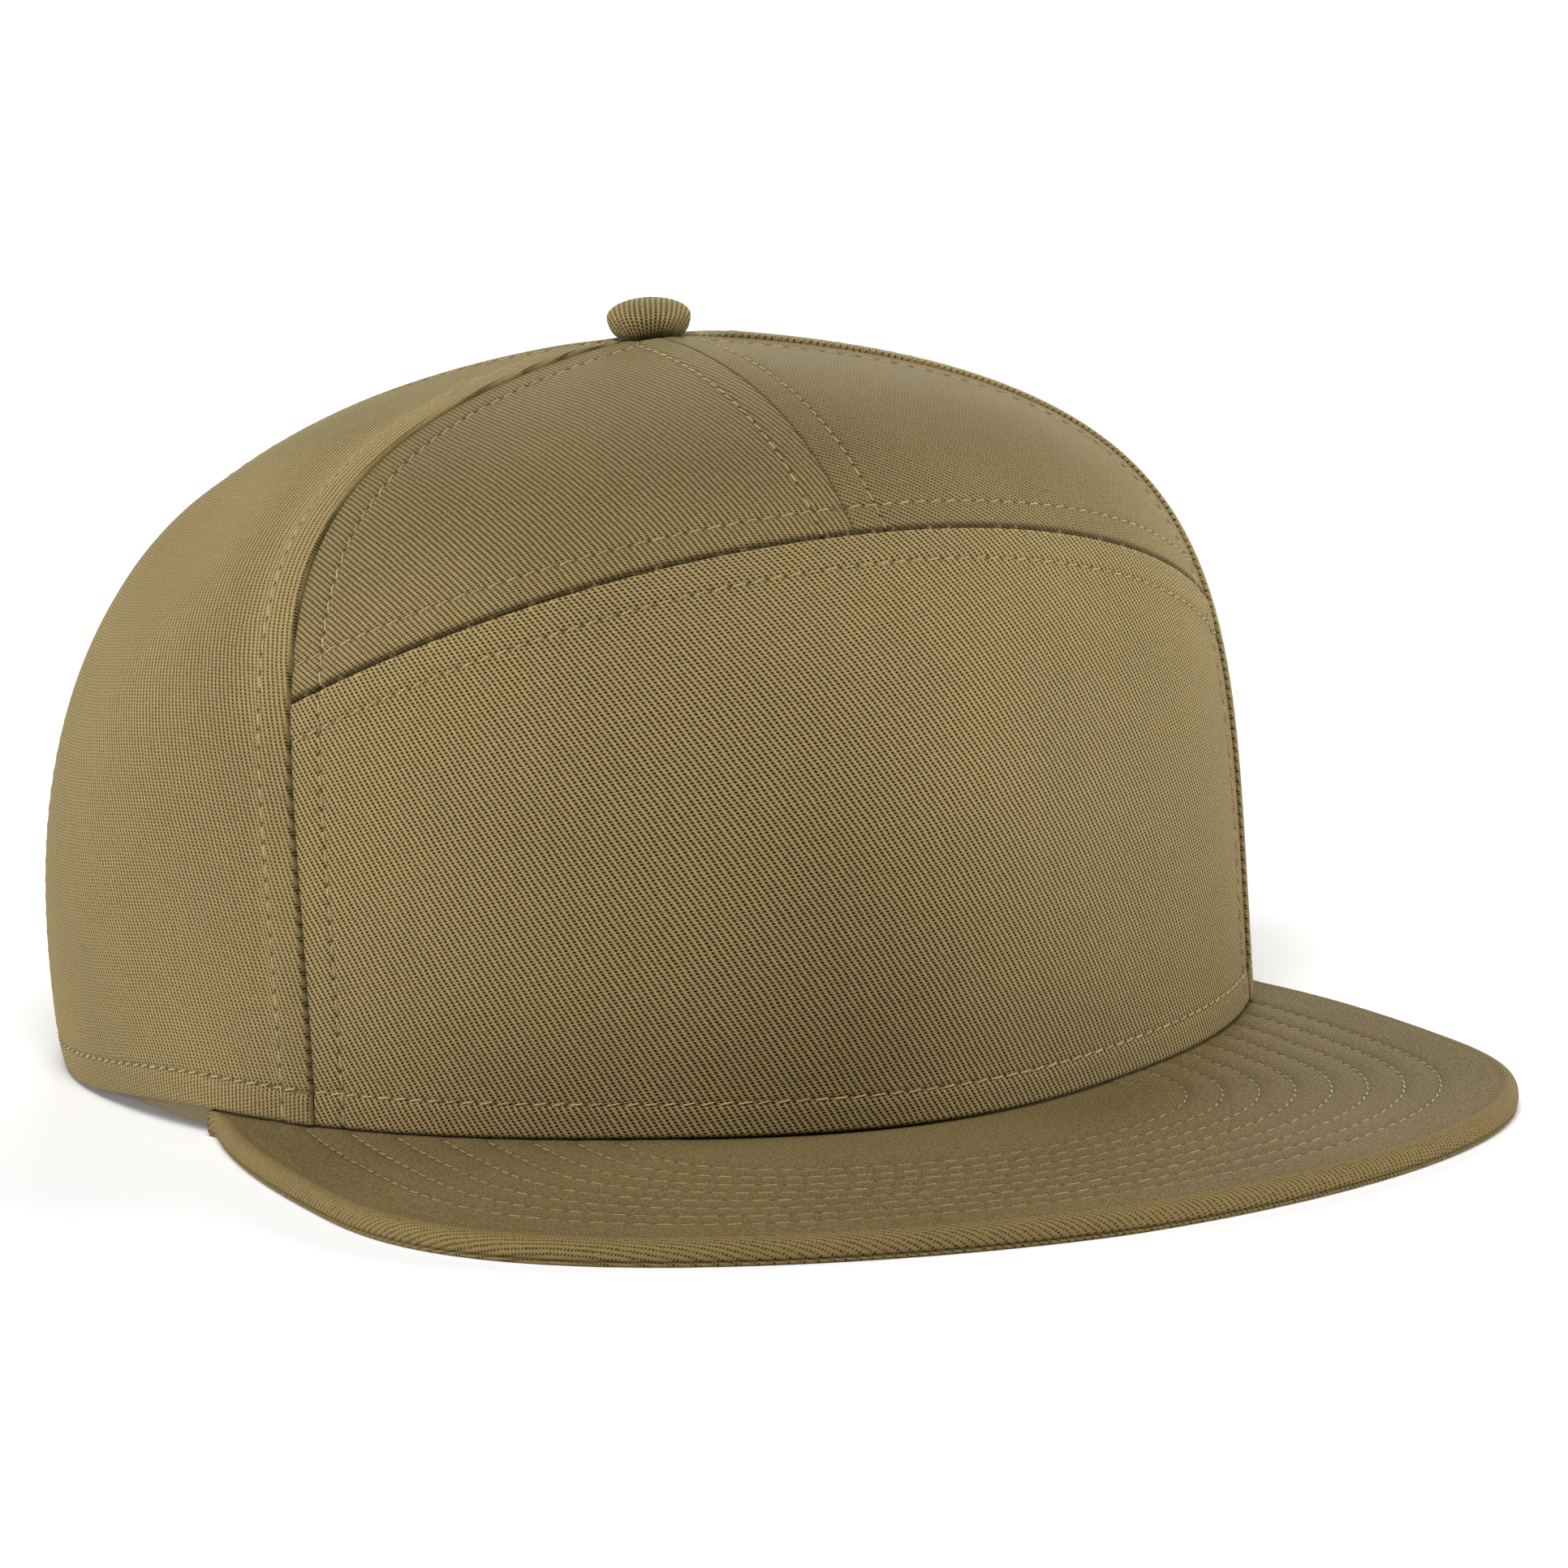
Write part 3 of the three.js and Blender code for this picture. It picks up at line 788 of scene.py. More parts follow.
@dataclass
class Sewing:
    """Machine stitches in rows, each a short plied thread that dives into the cloth at both ends.

    Along w from -1 to 1 a stitch's middle stands lift (1 - w⁴) - sink w⁸ over the cloth, and its radius is
    radius √(1 - 0.8 w⁶). Its ends lie about slant to either side of the row. Lengths vary by 7 percent and
    slants by half.
    """

    period: float = 2.85
    length: float = 2.4
    radius: float = 0.16
    lift: float = 0.04
    sink: float = 0.3
    slant: float = 0.19
    sections: int = 8
    sides: int = 6
    seed: int = SEED

    def mesh(self, rows: list[tuple[Array, Array, Array]]) -> tuple[Array, list[Array], Array]:
        """Makes all stitches of some rows.

        Args:
            rows: for each row its lengths along, points and normals, from one end to the other.

        Returns:
            Points, faces and the ply attribute.
        """
        random = np.random.default_rng(self.seed)
        share = np.linspace(-1, 1, self.sections)
        turn = np.arange(self.sides) * math.tau / self.sides
        blocks, plies = [], []
        for lengths, points, normals in rows:
            first, last = math.ceil(lengths[0] / self.period), math.floor(lengths[-1] / self.period)
            middles = (np.arange(first, last) + 0.5) * self.period
            if not len(middles):
                continue
            sizes = self.length * random.uniform(0.93, 1.07, len(middles))
            at = middles[:, None] + share * sizes[:, None] / 2
            centre = along_line(lengths, points, at)
            normal = unit(along_line(lengths, normals, at))
            tangent = unit(along_line(lengths, points, at + 0.2) - along_line(lengths, points, at - 0.2))
            beside = np.cross(normal, tangent)
            lean = self.slant * random.uniform(0.5, 1.5, len(middles))[:, None] * share
            lift = self.lift * (1 - share**4) - self.sink * share**8
            spine = centre + normal * lift[:, None] + beside * lean[..., None]
            radius = (self.radius * np.sqrt(1 - 0.8 * share**6))[:, None, None]
            upright = normal[:, :, None] * np.sin(turn)[:, None] * 0.85
            ring = upright + beside[:, :, None] * np.cos(turn)[:, None]
            blocks.append((spine[:, :, None] + ring * radius).reshape(-1, 3))
            lot = np.broadcast_to(random.uniform(0, 1, len(middles))[:, None, None], (*at.shape, self.sides))
            length = np.broadcast_to((share * self.length / 2)[:, None], lot.shape)
            around = np.broadcast_to(turn / math.tau, lot.shape)
            plies.append(np.stack([length, around, lot], axis=-1).reshape(-1, 3))
        points = np.concatenate(blocks)
        count = len(points) // (self.sections * self.sides)
        return points, self.faces(count), np.concatenate(plies)

    def faces(self, count: int) -> list[Array]:
        """Returns the side quads and the end caps of some stitches."""
        ring = np.arange(self.sides)
        after = (ring + 1) % self.sides
        level = np.arange(self.sections - 1)[:, None] * self.sides
        here, beside = level + ring, level + after
        quads = np.stack([here, beside, beside + self.sides, here + self.sides], axis=-1)
        block = np.arange(count)[:, None, None] * (self.sections * self.sides)
        sides = quads.reshape(1, -1, 4) + block
        caps = np.stack([ring[::-1], (self.sections - 1) * self.sides + ring])[None] + block
        return [sides.reshape(-1, 4), caps.reshape(-1, self.sides)]

    def build(self, name: str, rows: list[tuple[Array, Array, Array]], thread: bpy.types.Material,
              slot: Slot = Slot.CLOTH) -> None:
        """Makes the stitches as one piece."""
        points, faces, ply = self.mesh(rows)
        make_piece(name, points, faces, thread, {"ply": ply})


@dataclass
class ClothPanel:
    """One sewn panel of the crown: a closed wall of cloth with rolled edges, bands and rows of stitches.

    Its grid runs from the lowest angle to the highest, which two seams set, and from the rim to the
    button. near holds the distances of the rows and columns beside an edge, where the cloth turns in, and
    pace the even spacing between them. wave is how far the cloth undulates, grain and hem_turn how far its
    ribs are turned, lot how much lighter its cloth looks than the rest, low_shade how much painted light it
    takes beside its lower edge, painted shade where it is below 0, and depth how strong its ribs are. The
    rows of stitches stop short of other edges and of the button, and each lies in a groove. The seam
    allowances lift the face from crest_start on, measured from the crown's axis. On short lines near and the
    rows take up no more than near_most and row_most of the length.
    """

    name: str
    side: int = 1
    edges: dict[Edge, SeamEdge] = field(default_factory=dict)
    wave: float = 0.2
    pace: float = 0.92
    middle: float = 0.0
    grain: float = 0.0
    hem_turn: float = 0.0
    lot: float = 0.0
    depth: float = 1.0
    seed: int = SEED
    near: tuple[float, ...] = (0, 0.1, 0.22, 0.36, 0.52, 0.72, 0.96, 1.25, 1.6, 2.0, 2.45, 2.9, 3.4, 3.9,
                               4.35, 4.75, 5.1, 5.4, 5.7, 6.0, 6.35, 6.8, 7.4, 8.2)
    near_most: float = 0.42
    row_most: float = 0.44
    seams: tuple[SeamLine, SeamLine] = (CENTRE_SEAM, FRONT_SEAM)
    low_shade: float = 0.0
    shade_fades: tuple[float, float] = (2.0, 24.0)
    meets_button: bool = True
    clear_of_edge: float = 0.25
    clear_of_button: float = 2.2
    groove: float = 0.24
    groove_width: float = 0.75
    crest_start: tuple[float, float] = (6.5, 15.0)
    sewing: Sewing = field(default_factory=Sewing)

    def left(self, t: Array) -> Array:
        """Returns the lowest angle at a share of the way up, half a gap inside its seam."""
        angle = self.seams[0].angle(t) if self.side > 0 else -self.seams[1].angle(t)
        return angle + CROWN.gap_angle(angle, t)

    def right(self, t: Array) -> Array:
        """Returns the highest angle at a share of the way up, half a gap inside its seam."""
        angle = self.seams[1].angle(t) if self.side > 0 else -self.seams[0].angle(t)
        return angle - CROWN.gap_angle(angle, t)

    def foot_t(self, angle: Array) -> Array:
        """Returns the lower edge's share of the way up at an angle."""
        return np.zeros(angle.shape)

    def head_t(self, angle: Array) -> Array:
        """Returns the upper edge's share of the way up at an angle."""
        return CROWN.t_at_hole(angle)

    def place(self, across: Array, up: Array) -> tuple[Array, Array]:
        """Finds the angle and the share t for shares across and up the panel.

        Each bound depends on the other coordinate, so ten rounds settle both.

        Args:
            across: from 0 at the lowest angle to 1 at the highest.
            up: from 0 at the lower edge to 1 at the upper edge.

        Returns:
            The angle and t, shaped like across.
        """
        angles = np.linspace(-100, 180, 561)
        feet, heads = self.foot_t(angles), self.head_t(angles)
        t, angle = up, across
        for _ in range(10):
            angle = self.left(t) + (self.right(t) - self.left(t)) * across
            foot, head = np.interp(angle, angles, feet), np.interp(angle, angles, heads)
            t = foot + (head - foot) * up
        return angle, t

    def graded(self, sizes: Array, mean: float) -> Array:
        """Returns shares from 0 to 1 for lines of several lengths, close together beside both ends.

        Args:
            sizes: each line's length.
            mean: the length that sets how many even steps there are.

        Returns:
            Shares, shape (lines, steps).
        """
        near = np.array(self.near)
        scale = np.minimum(1, self.near_most * sizes / near[-1])[:, None]
        ends = near * scale / sizes[:, None]
        count = max(4, round((mean - 2 * near[-1]) / self.pace))
        steps = np.arange(1, count)[None] / count
        even = ends[:, -1:] + (1 - 2 * ends[:, -1:]) * steps
        return np.concatenate([ends, even, 1 - ends[:, ::-1]], axis=1)

    def lay_out(self) -> None:
        """Works out the panel's grid of places, points, normals and distances from its edges."""
        shares = np.linspace(0, 1, 41)
        rough, _ = CROWN.face(*self.place(*np.meshgrid(shares, shares)))
        widths = np.linalg.norm(np.diff(rough, axis=1), axis=-1).sum(axis=1)
        heights = np.linalg.norm(np.diff(rough, axis=0), axis=-1).sum(axis=0)
        usual_up = self.graded(np.array([heights.mean()]), heights.mean())[0]
        usual_across = self.graded(np.array([widths.max()]), widths.max())[0]
        self.row_width = np.interp(usual_up, shares, widths)
        self.column_height = np.interp(usual_across, shares, heights)
        across = self.graded(self.row_width, widths.max())
        up = self.graded(self.column_height, heights.mean()).T
        self.angle, self.t = self.place(across, up)
        self.base, self.normals = CROWN.face(self.angle, self.t)
        self.distance, self.along = {}, {}
        for edge in Edge:
            line = self.oriented(edge, self.base)[:, 0][::2]
            self.distance[edge], self.along[edge] = nearest_on_line(self.base, line)

    @staticmethod
    def oriented(edge: Edge, grid: Array) -> Array:
        """Returns a grid turned so that its first column lies on the edge."""
        facing = grid if edge.upright else np.swapaxes(grid, 0, 1)
        return facing[:, ::-1] if edge in (Edge.HIGH_SIDE, Edge.HEAD) else facing

    @staticmethod
    def thinned(line: Array) -> Array:
        """Returns a line with 160 to 320 of its points, or all if it has fewer."""
        return line[:: max(1, len(line) // 160)]

    def clearance(self, *edges: Edge) -> Array:
        """Returns the distance from the nearest of some edges."""
        return np.min([self.distance[edge] for edge in edges], axis=0)

    def row_at(self, edge: Edge) -> Array:
        """Returns how far the stitches lie from an edge on each line of the grid that leaves it."""
        sizes = self.row_width if edge.upright else self.column_height
        return np.minimum(self.edges[edge].row, self.row_most * sizes)

    def sewn_rows(self) -> dict[Edge, tuple[Array, Array, Array]]:
        """Finds each row of stitches as a line on the grid.

        Returns:
            For each edge with stitches, the grid lines kept, the whole column before the row and the share
            of the way to the next one.
        """
        found = {}
        for edge, seam in self.edges.items():
            if not seam.row:
                continue
            distance = self.oriented(edge, self.distance[edge])
            target = self.row_at(edge)
            column = np.maximum((distance >= target[:, None]).argmax(axis=1), 1)
            lines = np.arange(len(distance))
            before, after = distance[lines, column - 1], distance[lines, column]
            share = np.clip((target - before) / np.maximum(after - before, 1e-9), 0, 1)
            keep = np.ones(len(lines), bool)
            for other in Edge:
                if other is not edge:
                    at_button = other is Edge.HEAD and self.meets_button
                    clear = self.read(edge, self.distance[other], lines, column - 1, share)
                    keep &= clear > (self.clear_of_button if at_button else self.clear_of_edge)
            found[edge] = (lines[keep], column[keep] - 1, share[keep])
        return found

    def read(self, edge: Edge, grid: Array, lines: Array, column: Array, share: Array) -> Array:
        """Returns a grid's values on a row of stitches."""
        facing = self.oriented(edge, grid)
        part = share.reshape(-1, *([1] * (facing.ndim - 2)))
        return facing[lines, column] * (1 - part) + facing[lines, column + 1] * part

    def ripple(self) -> Array:
        """Returns the cloth's gentle undulation: four seeded sine waves, faded out beside the edges."""
        random = np.random.default_rng(self.seed)
        u, v = self.weave(self.angle, self.t)[..., :2].transpose(2, 0, 1)
        total = np.zeros(self.t.shape)
        for _ in range(4):
            turn, size = random.uniform(0, math.tau), random.uniform(26, 60)
            phase = random.uniform(0, math.tau)
            total += np.sin((u * math.cos(turn) + v * math.sin(turn)) * math.tau / size + phase)
        return self.wave * total / 2 * (1 - np.exp(-((self.clearance(*Edge) / 11) ** 2)))

    def fold(self) -> Array:
        """Returns folds of this panel alone."""
        return np.zeros(self.t.shape)

    def shade(self) -> Array:
        """Returns the painted light and shade on this panel's cloth beside its lower edge, none by default.
        """
        return self.low_shade * (1 - smoothstep(self.distance[Edge.FOOT], *self.shade_fades))

    def flatten(self, angle: Array, t: Array) -> tuple[Array, Array]:
        """Returns places on the flat cloth: radius times angle across, and the length up from the rim."""
        radius, _ = CROWN.profile(angle, t)
        return radius * np.radians(angle - self.middle), CROWN.climb(angle, t)

    def weave(self, angle: Array, t: Array) -> Array:
        """Returns the twill's coordinates, which turn with the grain, and the ribs' full strength."""
        u, v = turned(*self.flatten(angle, t), self.grain)
        return np.stack([u, v, np.ones(u.shape)], axis=-1)

    def face_weave(self) -> Array:
        """Returns the face's coordinates, with a turned hem band and ribs pressed flat beside the seams."""
        weave = self.weave(self.angle, self.t)
        if self.hem_turn:
            band = self.distance[Edge.FOOT] < self.row_at(Edge.FOOT)
            hem = np.stack(turned(weave[..., 0], weave[..., 1], self.hem_turn), axis=-1)
            weave[band, :2] = hem[band]
        weave[..., 2] = self.depth * (1 - 0.25 * np.exp(-((self.clearance(*Edge) / 0.8) ** 2)))
        return weave

    def relief(self) -> tuple[Array, Array, Array]:
        """Works out how far the face stands out, and the sewing and tone attributes.

        Returns:
            The height over the base, (distance from a row, count of stitches, tone with painted light and
            shade) at each point, and the tone, which is painted shade below 0 and worn above.
        """
        crest, drop, tone, lot = (np.zeros(self.t.shape) for _ in range(4))
        lifted = smoothstep(np.hypot(self.base[..., 0], self.base[..., 1]), *self.crest_start)
        for edge, seam in self.edges.items():
            d, row = self.distance[edge], self.row_at(edge)
            if edge.upright:
                row = row[:, None]
            tick = seam.tick(d, self.along[edge])
            crest = np.maximum(crest, seam.proud(d, row) * lifted)
            drop = np.maximum(drop, seam.rolled(d))
            # Painted shade in the seam's groove.
            tone = tone - seam.painted_groove_shade(d, tick)
            lot = lot + seam.ticks * tick
        lines = [self.thinned(self.read(edge, self.base, *places)) for edge, places in self.rows.items()]
        near, count = nearest_row(self.base, lines, self.sewing.period)
        groove = self.groove * np.exp(-((near / self.groove_width) ** 2))
        groove = groove * (0.75 + 0.25 * np.cos(math.tau * count))
        height = crest + self.ripple() + self.fold() - groove - drop
        # The sewing attribute's third part adds this panel's painted light and shade to its lot.
        return height, np.stack([near, count, self.lot + lot + self.shade()], axis=-1), np.clip(tone, -1, 1)

    def build(self, cloth: bpy.types.Material, thread: bpy.types.Material) -> None:
        """Makes the panel, whose inner face has every fourth row and column, and its stitches."""
        self.lay_out()
        self.rows = self.sewn_rows()
        height, sewing, tone = self.relief()
        self.outer = self.base + self.normals * height[..., None]
        rows, columns = self.t.shape
        kept = np.ix_(self.coarse(rows), self.coarse(columns))
        angle, t = self.angle[kept], self.t[kept]
        inner, _ = CROWN.face(angle, t, CROWN.wall)
        outer_ids = np.arange(rows * columns).reshape(rows, columns)
        inner_ids = rows * columns + np.arange(angle.size).reshape(angle.shape)
        strips = [strip_faces(outer_ids[0], inner_ids[0]),
                  strip_faces(outer_ids[-1], inner_ids[-1], True),
                  strip_faces(outer_ids[:, 0], inner_ids[:, 0], True),
                  strip_faces(outer_ids[:, -1], inner_ids[:, -1])]
        faces = [grid_quads(rows, columns), grid_quads(*angle.shape, rows * columns, flip=True),
                 np.concatenate(strips)]
        far = np.tile([FAR, 0.0, self.lot], (angle.size, 1))
        attributes = {
            "weave": np.concatenate([self.face_weave().reshape(-1, 3), self.weave(angle, t).reshape(-1, 3)]),
            "sewing": np.concatenate([sewing.reshape(-1, 3), far]),
            "tone": np.concatenate([tone.ravel(), np.zeros(angle.size)]),
        }
        points = np.concatenate([self.outer.reshape(-1, 3), inner.reshape(-1, 3)])
        make_piece(f"{self.name}_cloth", points, faces, cloth, attributes, self.name)
        self.sewing.build(f"{self.name}_stitches", self.stitch_rows(), thread)

    def stitch_rows(self) -> list[tuple[Array, Array, Array]]:
        """Returns each row's lengths, points on the finished face and normals."""
        up, across = np.gradient(self.outer, axis=0), np.gradient(self.outer, axis=1)
        normals = unit(np.cross(across, up))
        rows = []
        for edge, places in self.rows.items():
            base = self.read(edge, self.base, *places)
            _, lengths = nearest_on_line(base, self.thinned(base))
            points, standing = self.read(edge, self.outer, *places), self.read(edge, normals, *places)
            rows.append((np.maximum.accumulate(lengths), points, standing))
        return rows

    @staticmethod
    def coarse(count: int) -> Array:
        """Returns every fourth number below count, and the last."""
        return np.unique(np.append(np.arange(0, count, 4), count - 1))


@dataclass
class FrontPanel(ClothPanel):
    """The wide stiffened front panel under the arched seam."""

    wave: float = 0.06
    seams: tuple[SeamLine, SeamLine] = (FRONT_SEAM.mirrored(), FRONT_SEAM)
    # Painted shade: darker towards the lower edge, where the bill shades the front.
    low_shade: float = -0.06
    meets_button: bool = False

    def flatten(self, angle: Array, t: Array) -> tuple[Array, Array]:
        """Returns places on the flat cloth, whose picks dip towards the middle: v - 0.0175 u + 0.00075 u²."""
        u, v = ClothPanel.flatten(self, angle, t)
        return u, v - 0.0175 * u + 0.00075 * u * u

    def head_t(self, angle: Array) -> Array:
        """Returns the arched seam, less half its gap."""
        return CROWN.t_at_height(angle, CROWN.arch_height(angle) - CROWN.gap / 2)


@dataclass
class UpperFrontPanel(ClothPanel):
    """One of the two wedges between the arched seam and the button.

    Its cloth lies as if opened flat about the button: a place at the length l from there and the angle a,
    times spread, is at tight (l sin, -l cos).
    """

    wave: float = 0.06
    spread: float = 0.85
    tight: float = 1.13
    # Painted light: lighter beside the arched seam, where the seam allowance lifts the cloth towards the
    # lamps.
    low_shade: float = 0.085
    shade_fades: tuple[float, float] = (2.0, 22.0)

    def flatten(self, angle: Array, t: Array) -> tuple[Array, Array]:
        """Returns places on the wedge opened flat about the button."""
        length = self.tight * (CROWN.climb(angle, np.ones(np.shape(angle))) - CROWN.climb(angle, t))
        turn = np.radians(angle) * self.spread
        return length * np.sin(turn), -length * np.cos(turn)

    def foot_t(self, angle: Array) -> Array:
        """Returns the arched seam, plus half its gap."""
        return CROWN.t_at_height(angle, CROWN.arch_height(angle) + CROWN.gap / 2)


@dataclass
class SidePanel(ClothPanel):
    """A side panel, with the soft crease that runs back and down from its front seam.

    The crease stands crease_height e^-(√(d² + crease_round²) / crease_width) proud at a distance d from its
    line, given as angles and shares t. Painted shade darkens the cloth over it by over_shade, painted light
    lightens it under it by under_shade, and a painted light streak lightens it by streak beside the front
    seam.
    """

    seams: tuple[SeamLine, SeamLine] = (FRONT_SEAM, BACK_SEAM)
    crease: tuple[tuple[float, float], ...] = ((81.2, 0.875), (83, 0.842), (85.2, 0.80), (95.5, 0.743),
                                               (106, 0.705), (112, 0.66), (116, 0.60))
    crease_height: float = 1.35
    crease_width: float = 9.5
    crease_round: float = 3.2
    over_shade: float = -0.05
    under_shade: float = 0.09
    streak: float = 0.1

    def from_crease(self) -> tuple[Array, Array]:
        """Returns each point's distance from the crease's line, and the share of the way back along it."""
        angles, shares = np.array(self.crease).T
        line, _ = CROWN.face(self.side * angles, shares)
        distance, length = nearest_on_line(self.base, line)
        return distance, length / arc_lengths(line)[-1]

    def shade(self) -> Array:
        """Returns painted shade over the crease, and painted light under it and beside the front seam.

        It fades out along the crease, at the back seam, low down and high up.
        """
        angles, shares = np.array(self.crease).T
        distance, share = self.from_crease()
        over = np.where(self.t > np.interp(np.abs(self.angle), angles, shares), distance, -distance)
        # Painted shade over the crease and painted light under it.
        dark = self.over_shade * smoothstep(over, -5, 5) * (1 - smoothstep(over, 6, 26))
        light = self.under_shade * smoothstep(-over, -5, 5) * (1 - smoothstep(-over, 12, 36))
        ends = smoothstep(share, 0, 0.15) * (1 - smoothstep(share, 0.45, 0.97))
        high = smoothstep(self.t, 0.3, 0.5) * (1 - smoothstep(self.t, 0.88, 0.97))
        front, back = (Edge.LOW_SIDE, Edge.HIGH_SIDE) if self.side > 0 else (Edge.HIGH_SIDE, Edge.LOW_SIDE)
        # A painted light streak beside the front seam.
        streak = self.streak * (1 - smoothstep(self.distance[front], 7, 14))
        return ((dark + light) * ends * smoothstep(self.distance[back], 2, 16) + streak) * high

    def fold(self) -> Array:
        """Returns the crease, faded out beside the seams."""
        away = np.sqrt(self.from_crease()[0] ** 2 + self.crease_round**2)
        clear = smoothstep(self.clearance(Edge.LOW_SIDE, Edge.HIGH_SIDE), 4, 18)
        return self.crease_height * np.exp(-away / self.crease_width) * clear


@dataclass
class BackPanel(ClothPanel):
    """A back panel, whose lower edge runs along the rim and then up the half-moon opening.

    The half moon is |x / half_width|^bend + |z / arch|^bend = 1 seen from behind.
    """

    half_width: float = 38.0
    arch: float = 46.0
    bend: float = 2.3
    rim_share: float = 0.42

    def arch_angle(self, x: Array, height: Array) -> Array:
        """Returns the direction in which the face is x from the middle at a height, in 14 rounds."""
        angle = np.full(x.shape, 170.0)
        for _ in range(14):
            radius, _ = CROWN.profile(angle, CROWN.t_at_height(angle, height))
            angle = 180 - np.degrees(np.arcsin(np.clip(x / radius, -1, 1)))
        return angle

    def lower_edge(self, along: Array) -> tuple[Array, Array]:
        """Returns the angle and t of the lower edge at shares of the way from the seam to the middle."""
        corner = self.arch_angle(np.array([self.half_width]), np.array([0.0]))[0]
        turn = np.clip((along - self.rim_share) / (1 - self.rim_share), 0, 1) * math.pi / 2
        x = self.half_width * np.maximum(np.cos(turn), 0) ** (2 / self.bend)
        height = self.arch * np.sin(turn) ** (2 / self.bend)
        angle = self.arch_angle(x, height)
        on_rim = along <= self.rim_share
        rim = BACK_SEAM.rim + (corner - BACK_SEAM.rim) * along / self.rim_share
        return np.where(on_rim, rim, angle), np.where(on_rim, 0.0, CROWN.t_at_height(angle, height))

    def place(self, across: Array, up: Array) -> tuple[Array, Array]:
        """Finds the angle and the share t for shares across and up the panel.

        A column keeps its share of the way to the seam at the lower edge, which turns into an even one
        over the first 0.7 of the way up.

        Args:
            across: from 0 at the lowest angle to 1 at the highest.
            up: from 0 at the lower edge to 1 at the button.

        Returns:
            The angle and t, shaped like across.
        """
        along = across if self.side > 0 else 1 - across
        table = np.linspace(0, 1, 601)
        low_angle, low_t = self.lower_edge(table)
        start = (180 - low_angle) / (180 - BACK_SEAM.angle(low_t))
        heads_at = np.linspace(100, 180, 161)
        heads = CROWN.t_at_hole(heads_at)
        low, own = np.interp(along, table, low_t), np.interp(along, table, start)
        kept = own + (1 - along - own) * smoothstep(up, 0, 0.7)
        angle = np.full(along.shape, 160.0)
        for _ in range(10):
            t = low + (np.interp(angle, heads_at, heads) - low) * up
            gap = CROWN.gap_angle(angle, t)
            angle = (180 - gap) + (BACK_SEAM.angle(t) + 2 * gap - 180) * kept
        return self.side * angle, t


